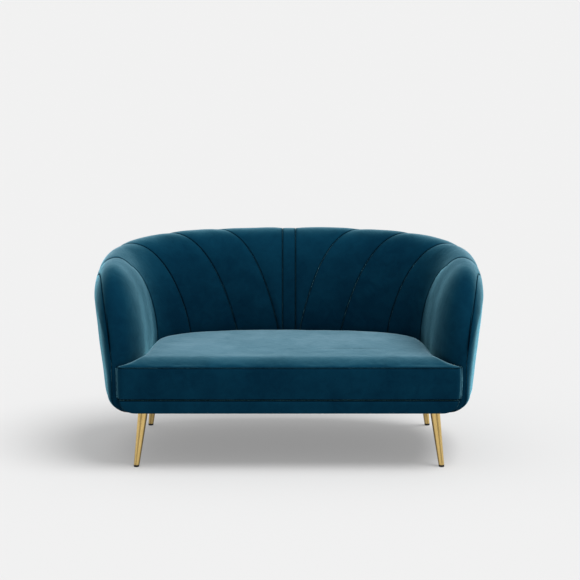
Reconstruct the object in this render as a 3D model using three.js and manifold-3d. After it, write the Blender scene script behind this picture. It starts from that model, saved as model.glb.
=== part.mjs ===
// Two-seat tub sofa with a fan-channelled back, a loose bench cushion and splayed brass legs.
// Millimetres, +Z up. The sofa faces -Y, +X is its left-hand side as a sitter would point, and
// the origin is on the floor under the middle of the whole sofa.
import * as THREE from 'three';
import { mergeVertices } from 'three/addons/utils/BufferGeometryUtils.js';
import Module from 'manifold-3d';

const wasm = await Module();
wasm.setup();

// ---- Driving dimensions -------------------------------------------------------------------
const HALF_WIDTH = 777; // outside of the shell at its widest
const BACK_Y = 385; // outside of the back
const FRONT_Y = -385; // front of the cushion and of the front border
const NOSE_Y = -365; // front tips of the arms
const BASE_Z = 230; // underside of the upholstery
const SEAT_Z = 430; // height at which the inside faces start to lean back
const DECK_Z = 283.5; // the cushion and the inside pads stand just above the deck
const ARM_FOOT_Z = 238; // at the arm fronts the inside pads reach down beside the front border

const CORNER_Y = -50; // the round corner of the shell ends here and the straight arm begins
const NOSE_START_Y = -140; // the arm begins to curl into its nose
const INNER_HALF_WIDTH = 557; // between the arms at seat height
const INNER_DEPTH = 222; // from CORNER_Y to the foot of the back
const INNER_POWER = 2.35; // superellipse powers of the two plan curves
const OUTER_POWER = 2.5;
const NOSE_INNER_X = 570;
const NOSE_TIP_X = 690;
const NOSE_POWER = 1.6; // how full the outside of the arm stays before it turns to the tip
const RIDGE_BACK_Z = 834; // top of the back, then of the arm's back end and its front end
const RIDGE_ARM_Z = 790;
const RIDGE_NOSE_Z = 775;
const RIDGE_POWER = 2.2;
const RIDGE_SHARE_BACK = 0.765; // where the ridge lies between the inner and outer curves
const RIDGE_SHARE_ARM = 0.64;
const ROLL_DROP_BACK = 100; // fall of the roll from the ridge to the outside face
const ROLL_DROP_ARM = 131;
const TAPER_BACK = 0.05; // lean of the outside face towards its foot, at the back and the arms
const TAPER_ARM = 0.09;
const FULL_TAPER_WIDTH = 150; // the taper and the hem fade where the arm is narrower than this
const HEM_ROUND_X = 25; // rounding of the bottom edge
const HEM_ROUND_Z = 50;
const NOSE_HEM_X = 64; // rounding of the lower corner of the front of the arm
const NOSE_HEM_Z = 55;
const NOSE_HEM_T = [1.8, 2.85]; // stations over which that rounding grows
const THIN_WIDTH = 50; // depths under the skin shrink where the roll is narrower than this

const GAP = 0.6; // clearance between neighbouring pieces
const PAD_THICK = 16;
const LINER = { depth: 25, thick: 3 };
const RAIL_CAP = { depth: 23.5, thick: 20 };
const OUTSIDE_THICK = 4;
const POST = { depth: 11, thick: 22 };
const TIP = 2.93; // last station along the arm; the nose is 17 mm wide there
const SEAM_V = 1.62; // outer seam, where the inside pads meet the outside covers

// Seams between the channels: station at the seat, station at the ridge, bend of the curve.
const SEAMS = [
  { foot: 0.033, top: 0.204, bend: 1.19 },
  { foot: 0.214, top: 0.423, bend: 1.1 },
  { foot: 0.488, top: 0.751, bend: 1.24 },
  { foot: 0.828, top: 1.16, bend: 1.83 },
];
const CENTRE_STRIP_HALF = 27;

const LEG = {
  front: { x: 603, y: -335, topX: 573, topY: -305 }, // centre on the floor and at BASE_Z
  back: { x: 590, y: 235, topX: 560, topY: 195 },
  topRadius: 20, tipRadius: 11.2, wall: 1.6, cap: 3, bevel: 1.2, tipZ: 8,
  studRadius: 4, studTop: 252, // a threaded stud stands on the cap
};

// ---- Materials ----------------------------------------------------------------------------
function finish(color, roughness, metalness = 0) {
  return new THREE.MeshStandardMaterial({ color, roughness, metalness });
}

const MATERIALS = {
  velvet: finish(0x0b3a52, 0.85),
  foam: finish(0xe9dfb8, 0.95),
  wood: finish(0xc9a673, 0.7),
  board: finish(0x9c7a52, 0.85),
  steel: finish(0x9a9da1, 0.4, 1),
  brass: finish(0xd0a64b, 0.25, 1),
  cloth: finish(0x17191b, 0.95),
  plastic: finish(0x101010, 0.6),
};

// ---- Solid tools --------------------------------------------------------------------------
const sofa = new THREE.Group();

function add(name, geometry, material) {
  const mesh = new THREE.Mesh(geometry, material);
  mesh.name = name;
  sofa.add(mesh);
  return mesh;
}

function toSolid(geometry) {
  const bare = geometry.clone();
  bare.deleteAttribute('normal');
  bare.deleteAttribute('uv');
  const merged = mergeVertices(bare, 1e-4);
  const triVerts = new Uint32Array(merged.index.array);
  const vertProperties = new Float32Array(merged.attributes.position.array);
  return new wasm.Manifold(new wasm.Mesh({ numProp: 3, vertProperties, triVerts }));
}

function toGeometry(solid) {
  const mesh = solid.getMesh();
  const geometry = new THREE.BufferGeometry();
  geometry.setAttribute('position', new THREE.BufferAttribute(mesh.vertProperties, 3));
  geometry.setIndex(new THREE.BufferAttribute(mesh.triVerts, 1));
  return geometry;
}

// A closed solid from stacked rings of points. The first and the last row hold one point each,
// which closes the ends with a fan.
function fromRings(rows) {
  const position = [];
  const index = [];
  const ringSize = rows[1].length;
  rows.forEach((row) => row.forEach((p) => position.push(p.x, p.y, p.z)));
  const ringStart = (j) => 1 + (j - 1) * ringSize;
  const last = rows.length - 1;
  for (let i = 0; i < ringSize; i++) {
    const next = (i + 1) % ringSize;
    index.push(0, ringStart(1) + next, ringStart(1) + i);
    for (let j = 1; j < last - 1; j++) {
      const a = ringStart(j) + i;
      const b = ringStart(j) + next;
      const c = ringStart(j + 1) + i;
      const d = ringStart(j + 1) + next;
      index.push(a, b, d, a, d, c);
    }
    index.push(ringStart(last), ringStart(last - 1) + i, ringStart(last - 1) + next);
  }
  const geometry = new THREE.BufferGeometry();
  geometry.setAttribute('position', new THREE.Float32BufferAttribute(position, 3));
  geometry.setIndex(index);
  return geometry;
}

// A closed slab between two surfaces, each a function of two shares from 0 to 1.
function slab(outer, inner, countI, countJ) {
  const position = [];
  const index = [];
  const at = (side, i, j) => side * (countI + 1) * (countJ + 1) + j * (countI + 1) + i;
  for (const surface of [outer, inner]) {
    for (let j = 0; j <= countJ; j++) {
      for (let i = 0; i <= countI; i++) position.push(...surface(i / countI, j / countJ).toArray());
    }
  }
  const quad = (a, b, c, d) => index.push(a, b, c, a, c, d);
  for (let j = 0; j < countJ; j++) {
    for (let i = 0; i < countI; i++) {
      quad(at(0, i, j), at(0, i + 1, j), at(0, i + 1, j + 1), at(0, i, j + 1));
      quad(at(1, i, j), at(1, i, j + 1), at(1, i + 1, j + 1), at(1, i + 1, j));
    }
    quad(at(0, 0, j), at(0, 0, j + 1), at(1, 0, j + 1), at(1, 0, j));
    quad(at(0, countI, j), at(1, countI, j), at(1, countI, j + 1), at(0, countI, j + 1));
  }
  for (let i = 0; i < countI; i++) {
    quad(at(0, i, 0), at(1, i, 0), at(1, i + 1, 0), at(0, i + 1, 0));
    quad(at(0, i, countJ), at(0, i + 1, countJ), at(1, i + 1, countJ), at(1, i, countJ));
  }
  const geometry = new THREE.BufferGeometry();
  geometry.setAttribute('position', new THREE.Float32BufferAttribute(position, 3));
  geometry.setIndex(index);
  return turnOut(geometry);
}

// Turns a closed surface's faces outwards if they all point in.
function turnOut(geometry) {
  const p = geometry.attributes.position;
  const index = Array.from(geometry.index.array);
  const corner = [new THREE.Vector3(), new THREE.Vector3(), new THREE.Vector3()];
  let volume = 0;
  for (let k = 0; k < index.length; k += 3) {
    corner.forEach((c, n) => c.fromBufferAttribute(p, index[k + n]));
    volume += corner[0].dot(corner[1].cross(corner[2]));
  }
  if (volume < 0) {
    geometry.setIndex(index.reverse());
  }
  return geometry;
}

// Extrudes a plan outline upwards from z = low to z = high.
function plate(points, low, high, holes = []) {
  const shape = new THREE.Shape(points);
  shape.holes.push(...holes);
  const geometry = new THREE.ExtrudeGeometry(shape, { depth: high - low, bevelEnabled: false });
  return geometry.translate(0, 0, low);
}

function box(x0, x1, y0, y1, z0, z1) {
  const geometry = new THREE.BoxGeometry(x1 - x0, y1 - y0, z1 - z0);
  return geometry.translate((x0 + x1) / 2, (y0 + y1) / 2, (z0 + z1) / 2);
}

// ---- The tub shell as a surface -----------------------------------------------------------
// Station t runs from the middle of the back (0) round the corner (to 1), along the arm
// (to 2) and round the nose (to 3); a negative t is the other side. v runs up the inside face
// (0 to 1, below 0 is under seat height), over the roll (1 to 2) and down the outside (2 to 3).
// depth is how far under the skin the point lies.
const mix = THREE.MathUtils.lerp;
const powCos = (angle, power) => Math.max(Math.cos(angle), 0) ** (2 / power);
const powSin = (angle, power) => Math.sin(angle) ** (2 / power);

function outerX(y) {
  const share = Math.min((CORNER_Y - y) / (CORNER_Y - NOSE_Y), 1);
  return NOSE_TIP_X + (HALF_WIDTH - NOSE_TIP_X) * (1 - share ** 2) ** (1 / NOSE_POWER);
}

function planPair(t) {
  if (t <= 1) {
    const angle = (t * Math.PI) / 2;
    const inner = new THREE.Vector2(
      INNER_HALF_WIDTH * powSin(angle, INNER_POWER),
      CORNER_Y + INNER_DEPTH * powCos(angle, INNER_POWER));
    const outer = new THREE.Vector2(
      HALF_WIDTH * powSin(angle, OUTER_POWER),
      CORNER_Y + (BACK_Y - CORNER_Y) * powCos(angle, OUTER_POWER));
    return { inner, outer };
  }
  const turn = (Math.max(t - 2, 0) * Math.PI) / 2;
  const straight = Math.min(t, 2) - 1;
  const y = mix(CORNER_Y, NOSE_START_Y, straight) + (NOSE_Y - NOSE_START_Y) * Math.sin(turn);
  const curl = (NOSE_TIP_X - NOSE_INNER_X) * (1 - Math.cos(turn));
  const x = mix(INNER_HALF_WIDTH, NOSE_INNER_X, straight) + curl;
  return { inner: new THREE.Vector2(x, y), outer: new THREE.Vector2(outerX(y), y) };
}

function ridgeZ(t) {
  if (t <= 1) return mix(RIDGE_BACK_Z, RIDGE_ARM_Z, t ** RIDGE_POWER);
  if (t <= 2) return mix(RIDGE_ARM_Z, RIDGE_NOSE_Z, t - 1);
  return SEAT_Z + (RIDGE_NOSE_Z - SEAT_Z) * Math.cos(((t - 2) * Math.PI) / 2);
}

function footZ(t) {
  return mix(DECK_Z, ARM_FOOT_Z, THREE.MathUtils.smoothstep(t, 2.62, 2.74));
}

// A quarter ellipse at the bottom edge: 0 at height z above it, reach at BASE_Z.
function lowerCorner(z, reach, height) {
  const fall = Math.min(Math.max((BASE_Z + height - z) / height, 0), 1);
  return reach * (1 - Math.sqrt(1 - fall ** 2));
}

function hemRound(z) {
  return lowerCorner(z, HEM_ROUND_X, HEM_ROUND_Z);
}

// How far the lower corner of an arm's front is drawn in towards the middle of the sofa.
function noseHem(t, z) {
  return lowerCorner(z, NOSE_HEM_X, NOSE_HEM_Z) * THREE.MathUtils.smoothstep(t, ...NOSE_HEM_T);
}

function skin(station, v, depth = 0) {
  const side = station < 0 ? -1 : 1;
  const t = Math.abs(station);
  const { inner, outer } = planPair(t);
  const rung = outer.clone().sub(inner);
  const width = rung.length();
  rung.normalize();
  const corner = THREE.MathUtils.smoothstep(t, 0, 1);
  const ridgeAt = width * mix(RIDGE_SHARE_BACK, RIDGE_SHARE_ARM, corner);
  const nose = t > 2 ? (ridgeZ(t) - SEAT_Z) / (RIDGE_NOSE_Z - SEAT_Z) : 1;
  const drop = mix(ROLL_DROP_BACK, ROLL_DROP_ARM, corner) * nose;
  const fade = Math.min(1, (width - ridgeAt) / THIN_WIDTH);
  const under = depth * fade;
  const top = ridgeZ(t) - under;
  let across;
  let z;
  if (v <= 0) {
    across = under;
    z = SEAT_Z + v * (SEAT_Z - footZ(t));
  } else if (v <= 1) {
    const a = (v * Math.PI) / 2;
    across = under + (ridgeAt - under) * (1 - Math.cos(a));
    z = SEAT_Z + (top - SEAT_Z) * Math.sin(a);
  } else if (v <= 2) {
    const a = ((v - 1) * Math.PI) / 2;
    across = ridgeAt + (width - ridgeAt - under) * Math.sin(a);
    z = top - (drop - under) * (1 - Math.cos(a));
  } else {
    const rollZ = ridgeZ(t) - drop;
    z = mix(rollZ, BASE_Z, v - 2);
    const taper = mix(TAPER_BACK, TAPER_ARM, THREE.MathUtils.smoothstep(t, 0.6, 1));
    const lean = taper * (rollZ - z) + hemRound(z);
    across = width - under - lean * Math.min(1, width / FULL_TAPER_WIDTH);
  }
  const p = inner.clone().addScaledVector(rung, across);
  return new THREE.Vector3(side * (p.x - noseHem(t, z)), p.y, z);
}

// The v of a height on the outside face at one station.
function outsideV(t, z) {
  const top = skin(t, 2).z;
  return 2 + (top - z) / (top - BASE_Z);
}

// A piece of the shell between two stations and two rows, from one depth to another.
function shellPiece(tAt, vAt, depths, countT, countV) {
  const surface = (depth) => (i, j) => skin(tAt(i, j), vAt(i, j), depth);
  return slab(surface(depths[0]), surface(depths[1]), countT, countV);
}

// ---- Inside pads: a centre strip, four channels and an arm pad on each side ---------------
const SEAM_CLEAR_V = 0.02; // half the clearance along the outer seam
const SEAM_CLEAR_T = GAP / 1000; // half the clearance between channels
const PAD_LOW_V = -1;
const PAD_HIGH_V = SEAM_V - SEAM_CLEAR_V;

function seamStation(seam, v) {
  return seam.foot + (seam.top - seam.foot) * Math.min(Math.max(v, 0), 1.1) ** seam.bend;
}

// Station at a given sideways distance from the middle of the back.
function stationAtX(x, v) {
  let low = 0;
  let high = 0.3;
  for (let step = 0; step < 30; step++) {
    const middle = (low + high) / 2;
    if (skin(middle, v).x < x) low = middle;
    else high = middle;
  }
  return low;
}

function padEdge(number, v) {
  if (number === 0) return stationAtX(CENTRE_STRIP_HALF, Math.max(v, 0));
  return number <= SEAMS.length ? seamStation(SEAMS[number - 1], v) : TIP;
}

// Rows below seat height: one upright foot, with more rows round the lower corner of the arm pad.
const PLAIN_FOOT = [PAD_LOW_V];
const ARM_FOOT = [PAD_LOW_V, -0.97, -0.92, -0.85, -0.755];
const ROWS_ABOVE = 9;
function padRow(share, foot) {
  const row = Math.round(share * (foot.length + ROWS_ABOVE));
  return row < foot.length ? foot[row] : mix(0, PAD_HIGH_V, (row - foot.length) / ROWS_ABOVE);
}

function pad(number, side, countT) {
  const foot = number === SEAMS.length ? ARM_FOOT : PLAIN_FOOT;
  const station = (i, j) => {
    const v = padRow(j, foot);
    const start = padEdge(number, v) + SEAM_CLEAR_T;
    const end = padEdge(number + 1, v) - (number === SEAMS.length ? 0 : SEAM_CLEAR_T);
    return side * mix(start, end, i);
  };
  const rows = foot.length + ROWS_ABOVE;
  return shellPiece(station, (i, j) => padRow(j, foot), [0, PAD_THICK], countT, rows);
}

function centreStrip() {
  const half = (v) => stationAtX(CENTRE_STRIP_HALF, Math.max(v, 0)) - SEAM_CLEAR_T;
  const row = (i, j) => padRow(j, PLAIN_FOOT);
  const station = (i, j) => mix(-1, 1, i) * half(row(i, j));
  return shellPiece(station, row, [0, PAD_THICK], 2, PLAIN_FOOT.length + ROWS_ABOVE);
}

add('pad_center_strip', centreStrip(), MATERIALS.velvet);
const PAD_NAMES = ['pad_back_inner', 'pad_back_middle', 'pad_back_outer', 'pad_corner', 'pad_arm'];
for (const [word, side] of [['left', 1], ['right', -1]]) {
  PAD_NAMES.forEach((name, number) => {
    const countT = name === 'pad_arm' ? 12 : 4;
    add(`${name}_${word}`, pad(number, side, countT), MATERIALS.velvet);
  });
}

// ---- Outside covers -----------------------------------------------------------------------
const BACK_CORNER_T = 0.62; // the outside back meets the outside arms here
const FACE_ROWS = 3; // after the seam row: rows down the straight face
const HEM_ROWS = 4; // and rows round the hem
const COVER_ROWS = 1 + FACE_ROWS + HEM_ROWS;
function coverV(t, row) {
  if (row === 0) return SEAM_V + SEAM_CLEAR_V;
  const hemV = outsideV(t, BASE_Z + HEM_ROUND_Z);
  if (row <= 1 + FACE_ROWS) return mix(2, hemV, (row - 1) / FACE_ROWS);
  const turn = ((row - 1 - FACE_ROWS) / HEM_ROWS) * (Math.PI / 2);
  return outsideV(t, BASE_Z + HEM_ROUND_Z * (1 - Math.sin(turn)));
}
function outside(start, end, countT) {
  const station = (i) => mix(start, end, i);
  const vAt = (i, j) => coverV(Math.abs(station(i)), Math.round(j * COVER_ROWS));
  return shellPiece(station, vAt, [0, OUTSIDE_THICK], countT, COVER_ROWS);
}
add('outside_back', outside(-BACK_CORNER_T, BACK_CORNER_T, 14), MATERIALS.velvet);
const ARM_COVER_T = BACK_CORNER_T + 2 * SEAM_CLEAR_T;
add('outside_arm_left', outside(ARM_COVER_T, TIP, 14), MATERIALS.velvet);
add('outside_arm_right', outside(-ARM_COVER_T, -TIP, 14), MATERIALS.velvet);

// ---- Timber frame inside the shell --------------------------------------------------------
const JOINT_CLEAR_T = 0.01;
const LINER_END_T = 0.56;
const LINER_FRONT_T = 2.4;
const LINER_ROWS = { foot: -0.9, top: 0.76, footShare: 0.2 };
function liner(start, end) {
  const vAt = (i, j) => (j < LINER_ROWS.footShare
    ? mix(LINER_ROWS.foot, 0, j / LINER_ROWS.footShare)
    : mix(0, LINER_ROWS.top, (j - LINER_ROWS.footShare) / (1 - LINER_ROWS.footShare)));
  return shellPiece((i) => mix(start, end, i), vAt, [LINER.depth, LINER.depth + LINER.thick], 10, 5);
}
add('liner_back', liner(-LINER_END_T, LINER_END_T), MATERIALS.board);
add('liner_arm_left', liner(LINER_END_T + JOINT_CLEAR_T, LINER_FRONT_T), MATERIALS.board);
add('liner_arm_right', liner(-LINER_END_T - JOINT_CLEAR_T, -LINER_FRONT_T), MATERIALS.board);

const TOP_RAIL_ROWS = [0.8, 1.54];
const RAIL_JOINT_T = 0.66; // the back top rail meets the arm top rails here
const FRAME_FRONT_T = 2.45; // the liners and top rails stop short of the nose tip
function topRail(start, end) {
  const depths = [RAIL_CAP.depth, RAIL_CAP.depth + RAIL_CAP.thick];
  return shellPiece((i) => mix(start, end, i), (i, j) => mix(...TOP_RAIL_ROWS, j), depths, 10, 4);
}
add('top_rail_back', topRail(-RAIL_JOINT_T, RAIL_JOINT_T), MATERIALS.wood);
add('top_rail_left', topRail(RAIL_JOINT_T + JOINT_CLEAR_T, FRAME_FRONT_T), MATERIALS.wood);
add('top_rail_right', topRail(-RAIL_JOINT_T - JOINT_CLEAR_T, -FRAME_FRONT_T), MATERIALS.wood);

const RAIL_LOW_Z = 233;
const RAIL_HIGH_Z = 268;
const POST_LOW_Z = 272;
const POST_TOP_V = 1.66;
const POST_BEND = 0.3; // share of the rows above the end of the roll
function post(t, halfWidth) {
  const lowV = outsideV(Math.abs(t), POST_LOW_Z);
  const vAt = (i, j) => (j < POST_BEND
    ? mix(POST_TOP_V, 2, j / POST_BEND)
    : mix(2, lowV, (j - POST_BEND) / (1 - POST_BEND)));
  return shellPiece((i) => t + (i * 2 - 1) * halfWidth, vAt, [POST.depth, POST.depth + POST.thick], 1, 4);
}

const POSTS = [
  { name: 'back_inner', t: 0.19, halfWidth: 0.03 },
  { name: 'back_outer', t: 0.5, halfWidth: 0.03 },
  { name: 'arm_rear', t: 0.95, halfWidth: 0.03 },
  { name: 'arm_front', t: 2.38, halfWidth: 0.06 },
];
for (const [word, side] of [['left', 1], ['right', -1]]) {
  for (const { name, t, halfWidth } of POSTS) {
    add(`post_${name}_${word}`, post(side * t, halfWidth), MATERIALS.wood);
  }
}

// Upright timber that follows the hem line, between two stations and two depths inside it.
function hemTimber(start, end, depths, z0, z1, countT) {
  const face = (depth) => (i, j) => {
    const t = mix(start, end, i);
    const p = skin(t, outsideV(Math.abs(t), RAIL_LOW_Z), depth);
    return new THREE.Vector3(p.x, p.y, mix(z1, z0, j));
  };
  return slab(face(depths[0]), face(depths[1]), countT, 1);
}

const POST_DEPTHS = [POST.depth, POST.depth + POST.thick];
const CORNER_BLOCK_T = [0.45, 0.66]; // the rear leg blocks fill this part of the ring
const SIDE_RAIL_END_T = 2.5;
const CLEAR_T = 0.004;
const baseRail = (start, end) => hemTimber(start, end, POST_DEPTHS, RAIL_LOW_Z, RAIL_HIGH_Z, 12);
add('base_rail_back', baseRail(-CORNER_BLOCK_T[0] + CLEAR_T, CORNER_BLOCK_T[0] - CLEAR_T), MATERIALS.wood);
add('base_rail_left', baseRail(CORNER_BLOCK_T[1] + CLEAR_T, SIDE_RAIL_END_T), MATERIALS.wood);
add('base_rail_right', baseRail(-CORNER_BLOCK_T[1] - CLEAR_T, -SIDE_RAIL_END_T), MATERIALS.wood);
const FRONT_RAIL = { halfX: 596, y0: -373, y1: -349 };
const { halfX: railX, y0: railY0, y1: railY1 } = FRONT_RAIL;
add('base_rail_front', box(-railX, railX, railY0, railY1, RAIL_LOW_Z, RAIL_HIGH_Z), MATERIALS.wood);
const CENTRE_RAIL = { halfX: 22, drop: 8 };
const backRailInner = skin(0, outsideV(0, RAIL_LOW_Z), POST_DEPTHS[1]).y;
const centreRail = box(-CENTRE_RAIL.halfX, CENTRE_RAIL.halfX, FRONT_RAIL.y1 + GAP, backRailInner - GAP,
  RAIL_LOW_Z, RAIL_HIGH_Z - CENTRE_RAIL.drop);
add('base_rail_center', centreRail, MATERIALS.wood);

// ---- Legs, plates, blocks and glides ------------------------------------------------------
// A leg part is turned upright and then sheared, so that its ends stay level.
function splayed(corner, side) {
  const leanX = (side * (corner.topX - corner.x)) / BASE_Z;
  const leanY = (corner.topY - corner.y) / BASE_Z;
  return new THREE.Matrix4().set(
    1, 0, leanX, side * corner.x,
    0, 1, leanY, corner.y,
    0, 0, 1, 0,
    0, 0, 0, 1);
}

const LEG_TOP_Z = 230.2;
const ROUND = 20; // segments of the round leg parts

function lathe(profile, matrix, segments = ROUND) {
  const geometry = new THREE.LatheGeometry(profile.map(([r, z]) => new THREE.Vector2(r, z)), segments);
  geometry.rotateX(Math.PI / 2);
  return turnOut(weld(geometry)).applyMatrix4(matrix);
}

function weld(geometry) {
  geometry.deleteAttribute('normal');
  geometry.deleteAttribute('uv');
  const merged = mergeVertices(geometry, 1e-4);
  const index = [];
  for (let k = 0; k < merged.index.count; k += 3) {
    const [a, b, c] = [0, 1, 2].map((n) => merged.index.getX(k + n));
    if (a !== b && b !== c && c !== a) index.push(a, b, c);
  }
  merged.setIndex(index);
  return merged;
}

const wallInner = (radius) => radius - LEG.wall;
const legProfile = [
  [0, LEG.studTop], [LEG.studRadius, LEG.studTop], [LEG.studRadius, LEG_TOP_Z],
  [LEG.topRadius - LEG.bevel, LEG_TOP_Z], [LEG.topRadius, LEG_TOP_Z - LEG.bevel],
  [LEG.tipRadius, LEG.tipZ], [wallInner(LEG.tipRadius), LEG.tipZ],
  [wallInner(LEG.topRadius), LEG_TOP_Z - LEG.cap], [0, LEG_TOP_Z - LEG.cap],
];
const GLIDE = { radius: 11, bevel: 1.2, lip: 7.6, plugRadius: wallInner(LEG.tipRadius) - 0.4, top: 20 };
const glideProfile = [
  [0, 0], [GLIDE.radius - GLIDE.bevel, 0], [GLIDE.radius, GLIDE.bevel], [GLIDE.radius, GLIDE.lip],
  [GLIDE.plugRadius, GLIDE.lip], [GLIDE.plugRadius, GLIDE.top], [0, GLIDE.top],
];
const PLATE = { half: 29, z0: 232.7, z1: 235.2, hubRadius: 8, hubTop: 246, bore: 4.4 };
const BLOCK = { z0: 235.6, z1: 267, bore: 10, rearDepth: 92 };
const FRONT_BLOCK = { x0: 522, x1: 613, y0: -347, y1: -257 };
const DUST = { z0: 230.9, z1: 232.3, bore: 8 };
const REACH = 5; // a cutter runs past both faces by this much
const HUB_SINK = 1; // the plate's hub starts inside the plate

function rod(radius, z0, z1, matrix) {
  return lathe([[0, z0], [radius, z0], [radius, z1], [0, z1]], matrix);
}

function cutter(radius, z0, z1, matrix) {
  return toSolid(rod(radius, z0 - REACH, z1 + REACH, matrix));
}

function legPlate(corner, side, matrix) {
  const x = side * corner.topX;
  const { half, z0, z1, hubRadius, hubTop, bore } = PLATE;
  const flat = box(x - half, x + half, corner.topY - half, corner.topY + half, z0, z1);
  const hub = rod(hubRadius, z0 + HUB_SINK, hubTop, matrix);
  return toSolid(weld(flat)).add(toSolid(hub)).subtract(cutter(bore, z0, hubTop, matrix));
}

function legBlock(end, side, matrix) {
  const { z0, z1, bore, rearDepth } = BLOCK;
  const [x0, x1] = [side * FRONT_BLOCK.x0, side * FRONT_BLOCK.x1].sort((a, b) => a - b);
  const timber = end === 'front'
    ? weld(box(x0, x1, FRONT_BLOCK.y0, FRONT_BLOCK.y1, z0, z1))
    : hemTimber(side * CORNER_BLOCK_T[0], side * CORNER_BLOCK_T[1], [POST.depth, rearDepth], z0, z1, 4);
  return toSolid(timber).subtract(cutter(bore, z0, z1, matrix));
}

const legPlaces = [];
for (const end of ['front', 'back']) {
  for (const [word, side] of [['left', 1], ['right', -1]]) {
    legPlaces.push({ end, side, name: `${end}_${word}`, matrix: splayed(LEG[end], side) });
  }
}
for (const { end, side, name, matrix } of legPlaces) {
  add(`leg_${name}`, lathe(legProfile, matrix), MATERIALS.brass);
  add(`foot_glide_${name}`, lathe(glideProfile, matrix), MATERIALS.plastic);
  add(`leg_plate_${name}`, toGeometry(legPlate(LEG[end], side, matrix)), MATERIALS.steel);
  add(`leg_block_${name}`, toGeometry(legBlock(end, side, matrix)), MATERIALS.wood);
}

// ---- Plan outlines at the foot of the shell -----------------------------------------------
// Anticlockwise outline through the shell at one row, closed by a straight front edge.
function outline(stations, v, inset, frontHalfX, frontY) {
  const points = stations.map((t) => {
    const p = skin(t, v, inset);
    return new THREE.Vector2(p.x, p.y);
  });
  points.push(new THREE.Vector2(-frontHalfX, frontY), new THREE.Vector2(frontHalfX, frontY));
  return points.reverse();
}

function stationList(end, count) {
  return Array.from({ length: count + 1 }, (_, k) => mix(end, -end, k / count));
}

// Dust cover under the frame, with a hole for each leg stud.
const HEM_INSET = OUTSIDE_THICK + 5;
const hemPoints = outline(stationList(2.6, 26), 3, HEM_INSET, 590, -370);
let dust = toSolid(weld(plate(hemPoints, DUST.z0, DUST.z1)));
for (const { matrix } of legPlaces) dust = dust.subtract(cutter(DUST.bore, DUST.z0, DUST.z1, matrix));
add('dust_cover', toGeometry(dust), MATERIALS.cloth);

// Deck cloth over the springs, tucked under the inside pads.
const DECK = { z0: 279.5, z1: 282.5, tuck: 12 };
const deckPoints = outline(stationList(2.5, 22), -0.5, DECK.tuck, 600, -371);
add('deck_cloth', weld(plate(deckPoints, DECK.z0, DECK.z1)), MATERIALS.cloth);

// ---- Zigzag springs under the deck --------------------------------------------------------
const SPRING = {
  wire: 2, z: 273.5, frontY: -366, backY: 296, spacing: 215, count: 5,
  loops: 10, pointsPerLoop: 4, halfWidth: 20, squareness: 0.6, sections: 60,
};

function springPath(x) {
  const points = [];
  const steps = SPRING.loops * SPRING.pointsPerLoop;
  for (let k = 0; k <= steps; k++) {
    const share = k / steps;
    const sway = Math.sin(share * SPRING.loops * Math.PI * 2);
    const squared = Math.sign(sway) * Math.abs(sway) ** SPRING.squareness;
    const y = mix(SPRING.frontY, SPRING.backY, share);
    points.push(new THREE.Vector3(x + SPRING.halfWidth * squared, y, SPRING.z));
  }
  return new THREE.CatmullRomCurve3(points);
}

const wireSection = new THREE.Shape();
wireSection.absarc(0, 0, SPRING.wire, 0, Math.PI * 2);
for (let number = 0; number < SPRING.count; number++) {
  const path = springPath((number - (SPRING.count - 1) / 2) * SPRING.spacing);
  const options = { steps: SPRING.sections, extrudePath: path, curveSegments: 2 };
  const geometry = new THREE.ExtrudeGeometry(wireSection, options);
  add(`spring_${number + 1}`, turnOut(weld(geometry)), MATERIALS.steel);
}

// ---- Front border: padded facing of the front rail with round lower corners ---------------
const BORDER = { halfX: 661, top: DECK.z1, cornerX: 64, cornerZ: 48, back: FRONT_RAIL.y0 - GAP };
const face = new THREE.Shape();
const bendX = BORDER.halfX - BORDER.cornerX;
const bendZ = BASE_Z + BORDER.cornerZ;
face.moveTo(-BORDER.halfX, BORDER.top);
face.lineTo(-BORDER.halfX, bendZ);
face.absellipse(-bendX, bendZ, BORDER.cornerX, BORDER.cornerZ, Math.PI, 1.5 * Math.PI);
face.absellipse(bendX, bendZ, BORDER.cornerX, BORDER.cornerZ, 1.5 * Math.PI, 2 * Math.PI);
face.lineTo(BORDER.halfX, BORDER.top);
const borderOptions = { depth: BORDER.back - FRONT_Y, bevelEnabled: false, curveSegments: 6 };
const border = new THREE.ExtrudeGeometry(face, borderOptions);
border.rotateX(Math.PI / 2).translate(0, BORDER.back, 0);
add('front_border', turnOut(weld(border)), MATERIALS.velvet);

// ---- Loose bench cushion: cover with a zip opening, foam and zip --------------------------
const CUSHION = {
  gap: 4, tip: 2.9, z0: DECK_Z + 1, seamZ: 415, halfX: 667, corner: 12, coverWall: 3, edge: 6,
  crown: 22, crownPower: 4, crownRings: [0.97, 0.9, 0.75, 0.45], // the top domes above the seam
};
const CUSHION_CENTRE = new THREE.Vector2(0, -120);

const polar = (radius, angle) => new THREE.Vector2(Math.cos(angle), Math.sin(angle)).multiplyScalar(radius);

function cushionOutline(inset) {
  const points = [];
  for (const t of stationList(CUSHION.tip, 34)) {
    const p = skin(t, -0.5);
    const { inner, outer } = planPair(Math.abs(t));
    const away = outer.sub(inner).normalize().multiplyScalar(-(CUSHION.gap + inset));
    points.push(new THREE.Vector2(p.x + Math.sign(t || 1) * away.x, p.y + away.y));
  }
  const halfX = CUSHION.halfX - inset;
  const frontY = FRONT_Y + inset;
  const centreY = frontY + CUSHION.corner;
  for (const side of [-1, 1]) {
    const centreX = side * (halfX - CUSHION.corner);
    for (let k = 0; k <= 3; k++) {
      const a = (side < 0 ? 1 : 1.5) * Math.PI + (k / 3) * (Math.PI / 2);
      points.push(new THREE.Vector2(centreX, centreY).add(polar(CUSHION.corner, a)));
    }
  }
  return points;
}

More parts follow.
